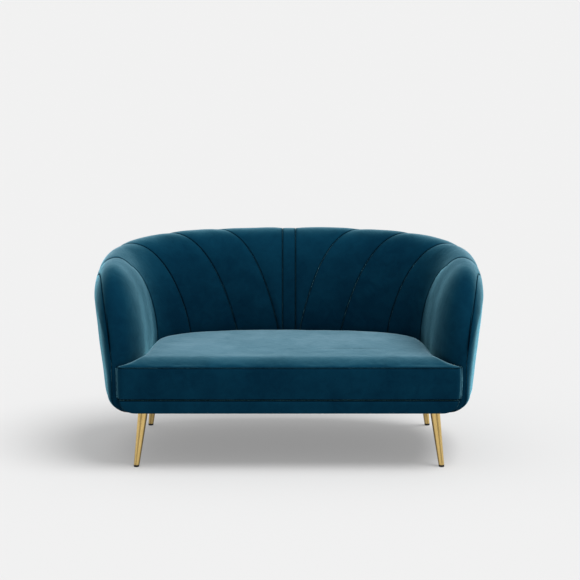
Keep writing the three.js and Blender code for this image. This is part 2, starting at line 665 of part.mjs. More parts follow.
function cushionSolid(inset) {
  const side = cushionOutline(inset);
  const foot = cushionOutline(inset + CUSHION.edge);
  const low = CUSHION.z0 + inset;
  const ring = (points, z, scale = 1) => points.map((p) => {
    const q = p.clone().sub(CUSHION_CENTRE).multiplyScalar(scale).add(CUSHION_CENTRE);
    return new THREE.Vector3(q.x, q.y, z);
  });
  const centre = (z) => [new THREE.Vector3(CUSHION_CENTRE.x, CUSHION_CENTRE.y, z)];
  const high = CUSHION.seamZ - inset;
  const rows = [centre(low), ring(foot, low), ring(side, low + CUSHION.edge), ring(side, high)];
  for (const scale of CUSHION.crownRings) {
    rows.push(ring(side, high + CUSHION.crown * Math.sqrt(1 - scale ** CUSHION.crownPower), scale));
  }
  rows.push(centre(high + CUSHION.crown));
  return toSolid(turnOut(fromRings(rows)));
}

const ZIP = { halfT: 0.42, z: 335, slotHalf: 4.5, tapeHalf: 4, endClearT: 0.004, out: 0.4, into: 2.2 };
const CUT_OUT = 8; // the zip slot's cutter runs past both faces of the cover
function backBand(halfT, halfZ, out, into) {
  const at = (depth) => (i, j) => {
    const p = skin(mix(-halfT, halfT, i), -0.5);
    return new THREE.Vector3(p.x, p.y - CUSHION.gap - depth, ZIP.z + (2 * j - 1) * halfZ);
  };
  return slab(at(out), at(into), 12, 1);
}
const coverSolid = cushionSolid(0)
  .subtract(cushionSolid(CUSHION.coverWall))
  .subtract(toSolid(backBand(ZIP.halfT, ZIP.slotHalf, -CUT_OUT, CUSHION.coverWall + 2)));
add('cushion_cover', toGeometry(coverSolid), MATERIALS.velvet);
add('cushion_foam', toGeometry(cushionSolid(CUSHION.coverWall + GAP)), MATERIALS.foam);
const zipHalfT = ZIP.halfT - ZIP.endClearT;
add('cushion_zip', backBand(zipHalfT, ZIP.tapeHalf, ZIP.out, ZIP.into), MATERIALS.plastic);

export default sofa;
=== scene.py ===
"""Looks for a two-seat tub sofa: velvet channels on a curved shell, a loose cushion and brass legs."""
import math

import bpy
import numpy as np
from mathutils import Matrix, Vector, noise


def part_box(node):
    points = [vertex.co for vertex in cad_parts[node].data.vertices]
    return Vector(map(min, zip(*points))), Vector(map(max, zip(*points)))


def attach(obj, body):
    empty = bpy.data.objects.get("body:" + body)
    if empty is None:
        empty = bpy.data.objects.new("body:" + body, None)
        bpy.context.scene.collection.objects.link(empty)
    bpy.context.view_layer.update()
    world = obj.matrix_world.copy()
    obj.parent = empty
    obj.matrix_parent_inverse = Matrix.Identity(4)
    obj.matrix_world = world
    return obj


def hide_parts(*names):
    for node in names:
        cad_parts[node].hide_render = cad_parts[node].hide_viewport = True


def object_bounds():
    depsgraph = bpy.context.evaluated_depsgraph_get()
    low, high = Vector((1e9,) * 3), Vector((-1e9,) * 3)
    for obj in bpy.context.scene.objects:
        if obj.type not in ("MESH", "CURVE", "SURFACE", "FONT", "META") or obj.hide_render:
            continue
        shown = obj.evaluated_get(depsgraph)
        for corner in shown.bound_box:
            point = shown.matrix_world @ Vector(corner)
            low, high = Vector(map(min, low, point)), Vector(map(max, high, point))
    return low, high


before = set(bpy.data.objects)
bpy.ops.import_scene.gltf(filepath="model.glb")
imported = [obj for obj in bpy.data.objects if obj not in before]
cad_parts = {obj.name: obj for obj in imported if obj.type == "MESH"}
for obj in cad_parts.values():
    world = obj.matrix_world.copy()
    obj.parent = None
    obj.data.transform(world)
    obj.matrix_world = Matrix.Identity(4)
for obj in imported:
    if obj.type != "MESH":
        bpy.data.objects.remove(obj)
CAD_LOW, CAD_HIGH = [list(corner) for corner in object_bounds()]

# ---- Places taken from the frame, in metres ----
HALF_WIDTH = 0.777  # half the width of the shell's outer curve
BACK_Y = CAD_HIGH[1]
FRONT_Y = CAD_LOW[1]
BASE_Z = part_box("front_border")[0][2]
DECK_TOP_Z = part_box("deck_cloth")[1][2]
PAD_FOOT_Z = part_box("pad_center_strip")[0][2]
CUSHION_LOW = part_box("cushion_cover")[0]

# ---- The shell's curves: the same formulas as the CAD part, in metres ----
SEAT_Z = 0.430
CORNER_Y = -0.050
NOSE_START_Y = -0.140
NOSE_Y = -0.365
INNER_HALF_WIDTH = 0.557
INNER_DEPTH = 0.222
INNER_POWER = 2.35
OUTER_POWER = 2.5
NOSE_INNER_X = 0.570
NOSE_TIP_X = 0.690
NOSE_POWER = 1.6
RIDGE_BACK_Z = 0.834
RIDGE_ARM_Z = 0.790
RIDGE_NOSE_Z = 0.775
RIDGE_POWER = 2.2
RIDGE_SHARE_BACK = 0.765
RIDGE_SHARE_ARM = 0.64
ROLL_DROP_BACK = 0.100
ROLL_DROP_ARM = 0.131
TAPER_BACK = 0.05
TAPER_ARM = 0.09
FULL_TAPER_WIDTH = 0.150  # the taper and the hem fade where the arm is narrower than this
HEM_ROUND_X = 0.025
HEM_ROUND_Z = 0.050
NOSE_HEM_X = 0.064  # the lower corner of the arm's front is rounded inwards
NOSE_HEM_Z = 0.055
NOSE_HEM_T = (1.8, 2.85)  # the stations over which that sets in
TAPER_T = (0.6, 1.0)  # and those over which the back's taper turns into the arm's
THIN_WIDTH = 0.050  # depths shrink where the roll is narrower than this
CENTRE_STRIP_HALF = 0.027
SEAMS = [(0.033, 0.204, 1.19), (0.214, 0.423, 1.10), (0.488, 0.751, 1.24), (0.828, 1.16, 1.83)]
SEAM_TOP_V = 1.62  # row of the outer seam along the back
SEAM_FALL_V = 0.17  # the seam is drawn this much inwards round the nose
SEAM_FALL_T = (1.5, 2.3)
PAD_LIFT_Z = 0.008  # the arm pads end this far above the hem
PAD_DROP_T = (2.62, 2.74)  # stations over which their foot drops from the deck to the hem
EASE_STEPS = 2401
EASE_REACH = 0.038  # the curves are averaged over about this length
EASE_LEAST = 0.00001  # keeps lengths above zero
TINY = 1e-12
EASE_END = 0.200  # and over less than that this close to the tip
TIP = 2.996  # last station of the arm, where inside and outside covers meet
BACK_CORNER_T = 0.62  # seam between the outside back and the outside arms


def smoothstep(x, low, high):
    s = np.clip((x - low) / (high - low), 0, 1)
    return s * s * (3 - 2 * s)


def blend(first, second, share):
    return first + (second - first) * share


def quarter(share):
    """An angle from 0 to a quarter turn."""
    return np.clip(share, 0, 1) * np.pi / 2


def unit(vectors, length=1.0):
    """Vectors scaled to one length."""
    return vectors * (length / np.maximum(np.linalg.norm(vectors, axis=-1, keepdims=True), TINY))


def arc(share):
    """How far a quarter circle falls away: 0 where it starts, 1 at its end."""
    return 1 - np.sqrt(1 - share ** 2)


def fade(distance, reach):
    """1 at an edge, falling evenly to 0 at reach."""
    return np.clip(1 - distance / reach, 0, 1)


def outer_x(y):
    share = np.clip((CORNER_Y - y) / (CORNER_Y - NOSE_Y), 0, 1)
    return blend(NOSE_TIP_X, HALF_WIDTH, (1 - share ** 2) ** (1 / NOSE_POWER))


def drawn_pair(t):
    """Inner and outer plan points of a station t from 0, mid back, to 3, tip of the arm, as drawn."""
    angle = quarter(t)
    sine = np.sin(angle)
    cosine = np.maximum(np.cos(angle), 0)
    turn = quarter(t - 2)
    straight = np.clip(t - 1, 0, 1)
    arm_y = blend(CORNER_Y, NOSE_START_Y, straight) + (NOSE_Y - NOSE_START_Y) * np.sin(turn)
    arm_x = (blend(INNER_HALF_WIDTH, NOSE_INNER_X, straight)
             + (NOSE_TIP_X - NOSE_INNER_X) * (1 - np.cos(turn)))
    back = t <= 1
    inner_x = np.where(back, INNER_HALF_WIDTH * sine ** (2 / INNER_POWER), arm_x)
    inner_y = np.where(back, CORNER_Y + INNER_DEPTH * cosine ** (2 / INNER_POWER), arm_y)
    out_x = np.where(back, HALF_WIDTH * sine ** (2 / OUTER_POWER), outer_x(arm_y))
    out_y = np.where(back, blend(CORNER_Y, BACK_Y, cosine ** (2 / OUTER_POWER)), arm_y)
    return np.stack([inner_x, inner_y], -1), np.stack([out_x, out_y], -1)


def drawn_ridge(t):
    back = blend(RIDGE_BACK_Z, RIDGE_ARM_Z, np.clip(t, 0, 1) ** RIDGE_POWER)
    arm = blend(RIDGE_ARM_Z, RIDGE_NOSE_Z, np.clip(t - 1, 0, 1))
    nose = blend(SEAT_Z, RIDGE_NOSE_Z, np.cos(quarter(t - 2)))
    return np.where(t <= 1, back, np.where(t <= 2, arm, nose))


def eased_shell():
    """The drawn curves with their small kinks eased, as the padding does on the real shell."""
    t = np.linspace(-3, 3, EASE_STEPS)
    inner, outer = drawn_pair(np.abs(t))
    flip = np.stack([np.sign(t), np.ones_like(t)], -1)
    # Columns: the inner curve's x and y, the outer curve's x and y, the ridge's height.
    curves = np.column_stack([inner * flip, outer * flip, drawn_ridge(np.abs(t))])
    eased = curves.copy()
    for columns, carried in (((0, 1), [0, 1, 4]), ((2, 3), [2, 3])):
        step = np.linalg.norm(np.diff(curves[:, columns], axis=0), axis=-1)
        run = np.concatenate([[0], np.cumsum(step)])
        weight = np.gradient(run)
        for k, place in enumerate(run):
            reach = EASE_REACH * min(1, (run[-1] - place) / EASE_END, place / EASE_END) + EASE_LEAST
            share = np.exp(-((run - place) / reach) ** 2) * weight
            eased[k, carried] = share @ curves[:, carried] / share.sum()
    return t, eased


EASED_T, EASED = eased_shell()


def plan_pair(t):
    """Inner and outer plan points of a station t from 0, mid back, to 3, tip of the arm."""
    inner_x, inner_y, out_x, out_y = (np.interp(t, EASED_T, EASED[:, k]) for k in range(4))
    return np.stack([inner_x, inner_y], -1), np.stack([out_x, out_y], -1)


def ridge_z(t):
    return np.interp(t, EASED_T, EASED[:, 4])


def foot_z(t):
    """Height of the lower edge of the inside pads: the deck, and the hem at the arm fronts."""
    return blend(PAD_FOOT_Z, BASE_Z + PAD_LIFT_Z, smoothstep(t, *PAD_DROP_T))


def skin(station, v, depth=0.0):
    """Points of the shell, as arrays. v: -1..0 below the seat, 0..1 inside, 1..2 roll, 2..3 outside."""
    side = np.where(station < 0, -1.0, 1.0)
    t = np.abs(station)
    inner, outer = plan_pair(t)
    rung = outer - inner
    width = np.linalg.norm(rung, axis=-1)
    rung = rung / np.maximum(width, 1e-9)[..., None]
    corner = smoothstep(t, 0, 1)
    ridge_at = width * blend(RIDGE_SHARE_BACK, RIDGE_SHARE_ARM, corner)
    nose = np.minimum((ridge_z(t) - SEAT_Z) / (RIDGE_NOSE_Z - SEAT_Z), 1.0)
    drop = blend(ROLL_DROP_BACK, ROLL_DROP_ARM, corner) * nose
    under = depth * np.minimum(1, (width - ridge_at) / THIN_WIDTH)
    top = ridge_z(t) - under
    inside, roll = quarter(v), quarter(v - 1)
    roll_z = ridge_z(t) - drop
    outside_z = blend(roll_z, BASE_Z, np.clip(v - 2, 0, 1))
    rise = np.clip((BASE_Z + HEM_ROUND_Z - outside_z) / HEM_ROUND_Z, 0, 1)
    hem = HEM_ROUND_X * arc(rise)
    taper = blend(TAPER_BACK, TAPER_ARM, smoothstep(t, *TAPER_T))
    lean = (taper * (roll_z - outside_z) + hem) * np.minimum(1, width / FULL_TAPER_WIDTH)
    across = np.where(
        v <= 1, under + (ridge_at - under) * (1 - np.cos(inside)),
        np.where(v <= 2, ridge_at + (width - ridge_at - under) * np.sin(roll), width - under - lean))
    below = SEAT_Z + np.clip(v, -1, 0) * (SEAT_Z - foot_z(t))
    z = np.where(
        v <= 0, below,
        np.where(v <= 1, SEAT_Z + (top - SEAT_Z) * np.sin(inside),
                 np.where(v <= 2, top - (drop - under) * (1 - np.cos(roll)), outside_z)))
    plan = inner + rung * across[..., None]
    low = np.clip((BASE_Z + NOSE_HEM_Z - z) / NOSE_HEM_Z, 0, 1)
    draw = NOSE_HEM_X * arc(low) * smoothstep(t, *NOSE_HEM_T)
    return np.stack([side * (plan[..., 0] - draw), plan[..., 1], z], -1)


def seam_v(t):
    """Row of the outer seam: level along the back, drawn inwards round the nose."""
    return SEAM_TOP_V - SEAM_FALL_V * smoothstep(np.abs(t), *SEAM_FALL_T)


def outside_v(t, z):
    top = skin(t, np.full_like(t, 2.0))[..., 2]
    return 2 + (top - z) / (top - BASE_Z)


# ---- Mesh tools ----
SEED_STEP = 17.31  # moves the noise to a fresh place for each seed
FAR = 9.0  # stands for the distance from an edge that isn't there
SEAM_SHADE = 0.0028  # painted seam shade: the velvet's colour is darkened this close to a seam, where shade falls in the groove


def make_object(name, points, faces, smooth=True):
    mesh = bpy.data.meshes.new(name)
    mesh.from_pydata([tuple(map(float, p)) for p in points], [], faces)
    mesh.validate()
    mesh.update()
    if smooth:
        mesh.polygons.foreach_set("use_smooth", [True] * len(mesh.polygons))
    piece = bpy.data.objects.new(name, mesh)
    bpy.context.scene.collection.objects.link(piece)
    return piece


def closed_grid(name, front, back):
    """A closed solid from two (rows, columns, 3) grids, joined all round."""
    rows, columns = front.shape[:2]
    count = rows * columns
    points = np.concatenate([front.reshape(-1, 3), back.reshape(-1, 3)])
    faces = []
    for j in range(rows - 1):
        for i in range(columns - 1):
            a = j * columns + i
            faces.append((a, a + 1, a + columns + 1, a + columns))
            faces.append((count + a, count + a + columns, count + a + columns + 1, count + a + 1))
    rim = [(0, i) for i in range(columns - 1)] + [(j, columns - 1) for j in range(rows - 1)]
    rim += [(rows - 1, i) for i in range(columns - 1, 0, -1)] + [(j, 0) for j in range(rows - 1, 0, -1)]
    for k, (j, i) in enumerate(rim):
        nj, ni = rim[(k + 1) % len(rim)]
        a, b = j * columns + i, nj * columns + ni
        faces.append((b, a, count + a, count + b))
    piece = make_object(name, points, faces)
    turn_out(piece)
    return piece


def mark_seams(piece, distance, reach=SEAM_SHADE):
    """Stores how close each point is to a sewn edge, from 0 to 1, which the velvet reads to paint shade at
    the seam and take away its painted sheen.
    """
    near = np.exp(-(np.ravel(distance) / reach) ** 2)
    attribute = piece.data.attributes.new("seam", "FLOAT", "POINT")
    attribute.data.foreach_set("value", near.astype(np.float32))


def turn_out(piece):
    """Flips the faces if the solid's volume comes out negative."""
    mesh = piece.data
    mesh.calc_loop_triangles()
    co = np.empty(len(mesh.vertices) * 3)
    mesh.vertices.foreach_get("co", co)
    co = co.reshape(-1, 3)
    tri = np.empty(len(mesh.loop_triangles) * 3, dtype=np.int32)
    mesh.loop_triangles.foreach_get("vertices", tri)
    a, b, c = co[tri.reshape(-1, 3).T]
    if np.einsum("ij,ij->i", a, np.cross(b, c)).sum() < 0:
        mesh.flip_normals()


EDGE_SHARES = (0.0, 0.05, 0.18, 0.4, 0.7, 1.0)  # places of the grid lines on a rolled edge


def spread(length, middle, low_roll, high_roll):
    """Distances along a run: close together on the rolled edges, even between them."""
    limit = length / 3
    low = [share * min(low_roll, limit) for share in EDGE_SHARES] if low_roll else [0.0]
    high = [length]
    if high_roll:
        high = [length - share * min(high_roll, limit) for share in EDGE_SHARES[::-1]]
    inner = np.linspace(low[-1], high[0], middle + 1)[1:-1]
    return np.array(low + list(inner) + high)


def along(points):
    """Running length down the first axis."""
    step = np.linalg.norm(np.diff(points, axis=0), axis=-1)
    return np.concatenate([np.zeros((1,) + step.shape[1:]), np.cumsum(step, axis=0)])


def unit_normals(points, inside_points):
    du = np.gradient(points, axis=1)
    dv = np.gradient(points, axis=0)
    normal = unit(np.cross(du, dv))
    outward = np.einsum("jik,jik->ji", normal, points - inside_points)
    return normal * np.sign(np.sum(outward))


def cloud(points, scale, seed):
    """Smooth noise from -1 to 1 at each point; scale is features per metre."""
    flat = points.reshape(-1, 3) * scale + seed * SEED_STEP
    values = [noise.noise(Vector(p)) for p in flat]
    return np.array(values).reshape(points.shape[:-1])


def loose_cloth(points, seed, waves):
    """Height of slack cloth, for waves given as (number per metre, height)."""
    return sum(cloud(points, scale, seed + k) * height for k, (scale, height) in enumerate(waves))


# ---- Upholstered panels that lie on the shell ----
SWELL_REACH = 0.075  # the padding is full at this distance from a seam
PIN_REACH = 0.012  # the seams hold the cloth still this close to them
THIN_SHELL = 0.08  # where the shell is narrower than this, its padding thins out
THINNEST = 0.1
SWELL_POWER = 2.2
SWELL_Z = (0.36, 0.47)  # the cushion holds the padding flat up to these heights
END_REACH = 0.05  # the padding is full at this distance from a panel's ends
PUCKER_REACH = 0.016
PUCKER = (42, 0.0012)  # folds per metre and their height, beside the seams
SLACK = ((7, 0.0018, 3), (18, 0.0006, 5))  # waves per metre, height and seed step, all over
PANEL_ROOM = 0.42  # share of the shell's width that one panel may fill
LEAST_THICK = 0.0008
PROBE_DEPTH = 0.004  # a point this far under the skin tells which way is out


def shell_width(t):
    inner, outer = plan_pair(np.abs(t))
    return np.linalg.norm(outer - inner, axis=-1)


def across(points):
    """Running length down the second axis."""
    return np.moveaxis(along(np.moveaxis(points, 1, 0)), 0, 1)


def panel_grid(station, row, rolled, columns, rows):
    """Stations and rows of a panel's grid, spaced by true length on the shell."""
    b_fine = np.linspace(0, 1, 400)
    t_middle = station(b_fine, np.full_like(b_fine, 0.5))
    run = along(skin(t_middle, row(b_fine, t_middle)))
    b = np.interp(spread(run[-1], rows, rolled[2], rolled[3]), run, b_fine)
    a_fine = np.linspace(0, 1, 80)
    grid_b, grid_a = np.meshgrid(b, a_fine, indexing="ij")
    t_fine = station(grid_b, grid_a)
    lengths = across(skin(t_fine, row(grid_b, t_fine)))
    a = np.array([np.interp(spread(c[-1], columns, rolled[0], rolled[1]), c, a_fine) for c in lengths])
    grid_b = np.repeat(b[:, None], a.shape[1], axis=1)
    t = station(grid_b, a)
    return t, row(grid_b, t)


def edge_sink(distances, rolled):
    """How far a panel's edges roll in under the skin."""
    sunk = np.zeros_like(distances[0])
    for distance, size in zip(distances, rolled):
        if size:
            sunk = np.maximum(sunk, size * arc(fade(distance, size)))
    return sunk


def panel_lift(base, t, width, edges, crown, seed):
    """How far a panel stands out: padding that swells between the seams, folds beside them, slack cloth."""
    side_edge, end_edge = edges
    edge = np.minimum(side_edge, end_edge)
    full_at = np.minimum(np.maximum(width / 2, EASE_LEAST), SWELL_REACH)
    swell = (1 - fade(side_edge, full_at) ** SWELL_POWER) * (1 - fade(end_edge, END_REACH) ** 2)
    swell = swell * smoothstep(base[..., 2], *SWELL_Z)
    folds = np.exp(-edge / PUCKER_REACH) * cloud(base, PUCKER[0], seed) * PUCKER[1]
    for scale, height, step in SLACK:
        folds = folds + cloud(base, scale, seed + step) * height
    pinned = 1 - np.exp(-edge / PIN_REACH)
    thin = np.clip(shell_width(t) / THIN_SHELL, THINNEST, 1)
    return (crown * swell + folds * pinned) * thin


def panel(name, station, row, rolled, crown, thickness, columns, rows, seed):
    """A sewn panel of the shell.

    station(b, a) and row(b, t) give its place on the shell for shares a across and b along.
    rolled holds how far each edge rolls under: (a low, a high, b low, b high), 0 for a plain edge.
    """
    t, v = panel_grid(station, row, rolled, columns, rows)
    base = skin(t, v)
    normal = unit_normals(base, skin(t, v, PROBE_DEPTH))
    from_low, from_foot = across(base), along(base)
    distances = [from_low, from_low[:, -1:] - from_low, from_foot, from_foot[-1:] - from_foot]
    side = [d if size else np.full_like(d, FAR) for d, size in zip(distances, rolled)]
    side_edge = np.minimum(side[0], side[1])
    end_edge = np.minimum(side[2], side[3])
    sunk = edge_sink(distances, rolled)
    lift = panel_lift(base, t, from_low[:, -1:], (side_edge, end_edge), crown, seed)
    front = base + normal * (lift - sunk)[..., None]
    depth = np.minimum(thickness, PANEL_ROOM * shell_width(t))
    below = np.maximum(depth + lift - sunk, LEAST_THICK)
    piece = closed_grid(name, front, front - normal * below[..., None])
    # Distances for the painted seam shade; the tight seam down the arm's front gets a fainter painted
    # shade.
    shaded = [d * (SEAM_SHADE / FAINT_SHADE if size == TIP_ROLL else 1) for d, size in zip(side, rolled)]
    edge = np.minimum(np.minimum(shaded[0], shaded[1]), end_edge)
    mark_seams(piece, np.concatenate([edge.ravel(), np.zeros(edge.size)]))
    return piece


def seam_station(number, v):
    foot, top, bend = SEAMS[number]
    return blend(foot, top, np.clip(v, 0, 1.1) ** bend)


STATION_TABLE = np.linspace(0, 0.3, 200)


def station_at_x(x, v):
    """Station near the middle of the back at a given distance from the centre line."""
    flat = [np.interp(x, skin(STATION_TABLE, np.full_like(STATION_TABLE, value))[:, 0], STATION_TABLE)
            for value in np.ravel(np.clip(v, 0, SEAM_TOP_V))]
    return np.array(flat).reshape(np.shape(v))


FOOT_SHARE = 0.2  # share of a pad's length that lies below seat height
STATION_STEP = 0.001  # a small step along the shell
SEAM_SLOT = 0.0003  # half the open width between two sewn edges
TAPE_DEPTH = 0.0050  # the panels are sewn to a tape this far under the skin
TAPE_HALF = 0.007
TAPE_THICK = 0.0015
TAPE_STEPS = 90
PAD_ROLL = 0.0030
PAD_THICKNESS = 0.0145
PAD_CROWN = 0.004  # how far the padding swells
PAD_ROWS = 96
STRIP_CROWN = 0.0015
SEAM_GAP_V = 0.006
TIP_ROLL = 0.0009  # the tight seam down the front of the arm
# The painted seam shade reaches only this far at the tight seam down the front of the arm.
FAINT_SHADE = 0.0009


def pad_v(b):
    above = (b - FOOT_SHARE) / (1 - FOOT_SHARE) * SEAM_TOP_V
    return np.where(b < FOOT_SHARE, b / FOOT_SHARE - 1, above)


def pad_row(b, t):
    reach = (seam_v(t) - SEAM_GAP_V) / SEAM_TOP_V
    v = pad_v(b)
    return np.where(v > 0, v * reach, v)


def pad_edge(number, v):
    if number == 0:
        return station_at_x(CENTRE_STRIP_HALF, v)
    if number <= len(SEAMS):
        return seam_station(number - 1, v)
    return np.full_like(v, TIP)


def inside_pad(node, number, side, columns):
    last = number == len(SEAMS)

    def station(b, a):
        v = pad_v(b)
        low = pad_edge(number, v)
        high = pad_edge(number + 1, v)
        low = low + SEAM_SLOT * station_per_metre(low, v)
        if not last:
            high = high - SEAM_SLOT * station_per_metre(high, v)
        return side * blend(low, high, a)

    rolled = (PAD_ROLL, TIP_ROLL if last else PAD_ROLL, 0, PAD_ROLL)
    seed = number + (0 if side > 0 else 7)
    return panel("velvet_" + node, station, pad_row, rolled, PAD_CROWN, PAD_THICKNESS, columns,
                 PAD_ROWS, seed)


def station_per_metre(t, v):
    """How far the station moves for a metre across the shell at one place."""
    gap = np.linalg.norm(skin(t + STATION_STEP, v) - skin(t, v), axis=-1)
    return STATION_STEP / np.maximum(gap, EASE_LEAST)


def seam_tape(name, station, v):
    """The tape behind a seam, painted dark as seam shadow: a narrow strip under the skin along station and
    v.
    """
    middle = skin(station, v, TAPE_DEPTH)
    run = np.gradient(middle, axis=0)
    normal = unit(skin(station, v) - skin(station, v, PROBE_DEPTH))
    wide = unit(np.cross(run, normal), TAPE_HALF)
    front = np.stack([middle - wide, middle, middle + wide], 1)
    return closed_grid(name, front, front - normal[:, None, :] * TAPE_THICK)


def seam_tapes():
    pieces = []
    v = pad_v(np.linspace(0, 1, TAPE_STEPS))
    for word, side in (("left", 1), ("right", -1)):
        for number in range(len(SEAMS) + 1):
            pieces.append(seam_tape(f"seam_tape_{number}_{word}", side * pad_edge(number, v), v))
        t = np.linspace(0, TIP - 0.1, 220)
        pieces.append(seam_tape(f"seam_tape_edge_{word}", side * t, seam_v(t)))
        down = np.linspace(SEAM_TOP_V, 2.9, 60)
        corner = np.full_like(down, side * BACK_CORNER_T)
        pieces.append(seam_tape(f"seam_tape_back_{word}", corner, down))
    for piece in pieces:
        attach(piece, "sofa_body")
    return pieces


def centre_strip():
    def station(b, a):
        v = pad_v(b)
        edge = station_at_x(CENTRE_STRIP_HALF, v)
        return (2 * a - 1) * (edge - SEAM_SLOT * station_per_metre(edge, v))

    rolled = (PAD_ROLL, PAD_ROLL, 0, PAD_ROLL)
    return panel("velvet_pad_center_strip", station, pad_row, rolled, STRIP_CROWN, PAD_THICKNESS,
                 columns=8, rows=PAD_ROWS, seed=20)


COVER_THICKNESS = 0.0035
COVER_CROWN = 0.0015
COVER_ROLL = 0.004
COVER_TOP_ROLL = 0.005
COVER_ROWS = 60
CORNER_SLOT_T = 0.001
HEM_SHARE = 0.15  # share of a cover's rows that go round the hem


def cover_row(b, t):
    """Rows of an outside cover: from the outer seam, down the face, round the hem."""
    hem_v = outside_v(np.abs(t), BASE_Z + HEM_ROUND_Z)
    top_v = seam_v(t) + SEAM_GAP_V
    down = top_v + (hem_v - top_v) * b / (1 - HEM_SHARE)
    turn = quarter((b - 1 + HEM_SHARE) / HEM_SHARE)
    round_v = outside_v(np.abs(t), BASE_Z + HEM_ROUND_Z * (1 - np.sin(turn)))
    return np.where(b < 1 - HEM_SHARE, down, round_v)


def outside_cover(node, start, end, end_rolls, columns, seed):
    def station(b, a):
        return start + (end - start) * a + 0 * b

    rolled = (*end_rolls, COVER_TOP_ROLL, 0)
    return panel("velvet_" + node, station, cover_row, rolled, COVER_CROWN, COVER_THICKNESS, columns,
                 COVER_ROWS, seed)


PAD_NAMES = ("pad_back_inner", "pad_back_middle", "pad_back_outer", "pad_corner", "pad_arm")
PAD_COLUMNS = (22, 24, 26, 34, 56)


def tub_covers():
    """The eleven inside panels and the three outside covers, each in place of its CAD solid."""
    pieces = {"pad_center_strip": centre_strip()}
    for word, side in (("left", 1), ("right", -1)):
        for number, (name, columns) in enumerate(zip(PAD_NAMES, PAD_COLUMNS)):
            node = f"{name}_{word}"
            pieces[node] = inside_pad(node, number, side, columns)
        node = f"outside_arm_{word}"
        pieces[node] = outside_cover(node, side * (BACK_CORNER_T + CORNER_SLOT_T), side * TIP,
                                     (COVER_ROLL, TIP_ROLL), columns=110, seed=30 + side)
    pieces["outside_back"] = outside_cover("outside_back", -BACK_CORNER_T, BACK_CORNER_T,
                                           (COVER_ROLL, COVER_ROLL), columns=90, seed=33)
    for node, piece in pieces.items():
        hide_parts(node)
        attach(piece, "sofa_body")
    return list(pieces.values())


# ---- Front border ----
BORDER_CORNER_X = 0.064
BORDER_CORNER_Z = 0.048
BORDER_ROLL = 0.0055
BORDER_CROWN = 0.002
BORDER_CORNER_MEAN = 0.055  # mean radius of the lower corners
BORDER_HELD = 0.01  # the cloth lies still this close to the edge
# The border's velvet gets painted shade this close to its edges.
BORDER_SHADE = 0.0030
BORDER_SLACK = ((9, 0.0012), (30, 0.0005))  # waves per metre and their height
BORDER_GRID = (150, 14)  # columns, rows


def front_border():
    low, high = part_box("front_border")
    half_x = high[0]
    bend_x = half_x - BORDER_CORNER_X
    bend_z = low[2] + BORDER_CORNER_Z
    z = low[2] + spread(high[2] - low[2], BORDER_GRID[1], BORDER_ROLL, BORDER_ROLL)
    drop = np.clip((bend_z - z) / BORDER_CORNER_Z, 0, 1)
    half = bend_x + BORDER_CORNER_X * np.sqrt(1 - drop ** 2)
    x = np.array([spread(2 * h, BORDER_GRID[0], BORDER_ROLL, BORDER_ROLL) - h for h in half])
    z = np.repeat(z[:, None], x.shape[1], axis=1)
    # Distance from the edge: the straight sides, or the ellipse at the lower corners.
    out = np.clip((np.abs(x) - bend_x) / BORDER_CORNER_X, 0, 1)
    ring = np.hypot(out, np.clip((bend_z - z) / BORDER_CORNER_Z, 0, 1))
    in_corner = (np.abs(x) > bend_x) & (z < bend_z)
    straight = np.minimum(np.minimum(z - low[2], high[2] - z), half_x - np.abs(x))
    edge = np.where(in_corner, np.minimum((1 - ring) * BORDER_CORNER_MEAN, high[2] - z), straight)
    near = fade(edge, BORDER_ROLL)
    sunk = BORDER_ROLL * arc(near)
    face = np.stack([x, np.full_like(x, low[1]), z], -1)
    ripple = loose_cloth(face, 41, BORDER_SLACK)
    lift = (BORDER_CROWN * (1 - near) + ripple) * np.clip(edge / BORDER_HELD, 0, 1)
    front = face + np.stack([0 * x, sunk - lift, 0 * x], -1)
    back = np.stack([x, np.full_like(x, high[1]), z], -1)
    piece = closed_grid("velvet_front_border", front, back)
    mark_seams(piece, np.concatenate([edge.ravel(), np.zeros(edge.size)]), BORDER_SHADE)
    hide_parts("front_border")
    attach(piece, "sofa_body")
    return piece


# ---- Seat cushion ----
CUSHION_GAP = 0.003  # between the cushion and the padding round it
CUSHION_END_T = 2.93
CUSHION_HALF_X = 0.668
CUSHION_CORNER = 0.022
FOOT_SHADE = 0.0030  # painted shade darkens the velvet this far up from the foot of the boxing
RIM_SHADE = 0.0045  # and painted shade also reaches this far from the seam round the top
CUSHION_SEAM_Z = 0.415
CUSHION_SPINE = (0.47, -0.21)  # its rings shrink onto a line: half length and y
CUSHION_TOP = 0.026
CUSHION_DOME = 0.003
TOP_ROLL_FRONT = 0.088  # the top rises over this distance from its seam
TOP_ROLL_BACK = 0.034
TOP_ROLL_EAR = 0.036
TOP_ROLL_POWER = 1.8
EAR_Y = (0.10, 0.28)  # how far forward of the middle the back's roll turns into the ears
DOME_REACH = (0.03, 0.24)
TOP_STEPS = (0.0008, 0.0020, 0.0036, 0.0060, 0.009, 0.013, 0.018, 0.024, 0.032, 0.041)
TOP_ROWS = 16  # rings inside those next to the seam
TOP_MIDDLE = 0.94  # share of the way to the spine at which they stop
UNDERSIDE_SHARES = (0.02, 0.2, 0.4, 0.6, 0.8, 0.93, 0.99)
FOOT_TURNS = np.linspace(0.12, 1, 7)[:-1] * np.pi / 2
BOXING_ROWS = 19
RIM_SHARES = (0.05, 0.035, 0.022, 0.012, 0.005, 0)  # closer rows just below the seam
FOOT_ROLL = 0.009
BOXING_BULGE = 0.0035
HELD_BULGE = 0.25  # share of the bulge left where the arms press on the boxing
FREE_REACH = 0.03  # from the front back to where the arms begin to press
SEAM_DEPTH = 0.0020
SEAM_REACH = 0.0045
RING_POINTS = 640
CUSHION_SLACK = ((4.5, 0.0030), (13, 0.0010))
BOXING_SLACK = 0.4  # share of those waves on the boxing
CUSHION_PUCKER = (36, 0.0022)
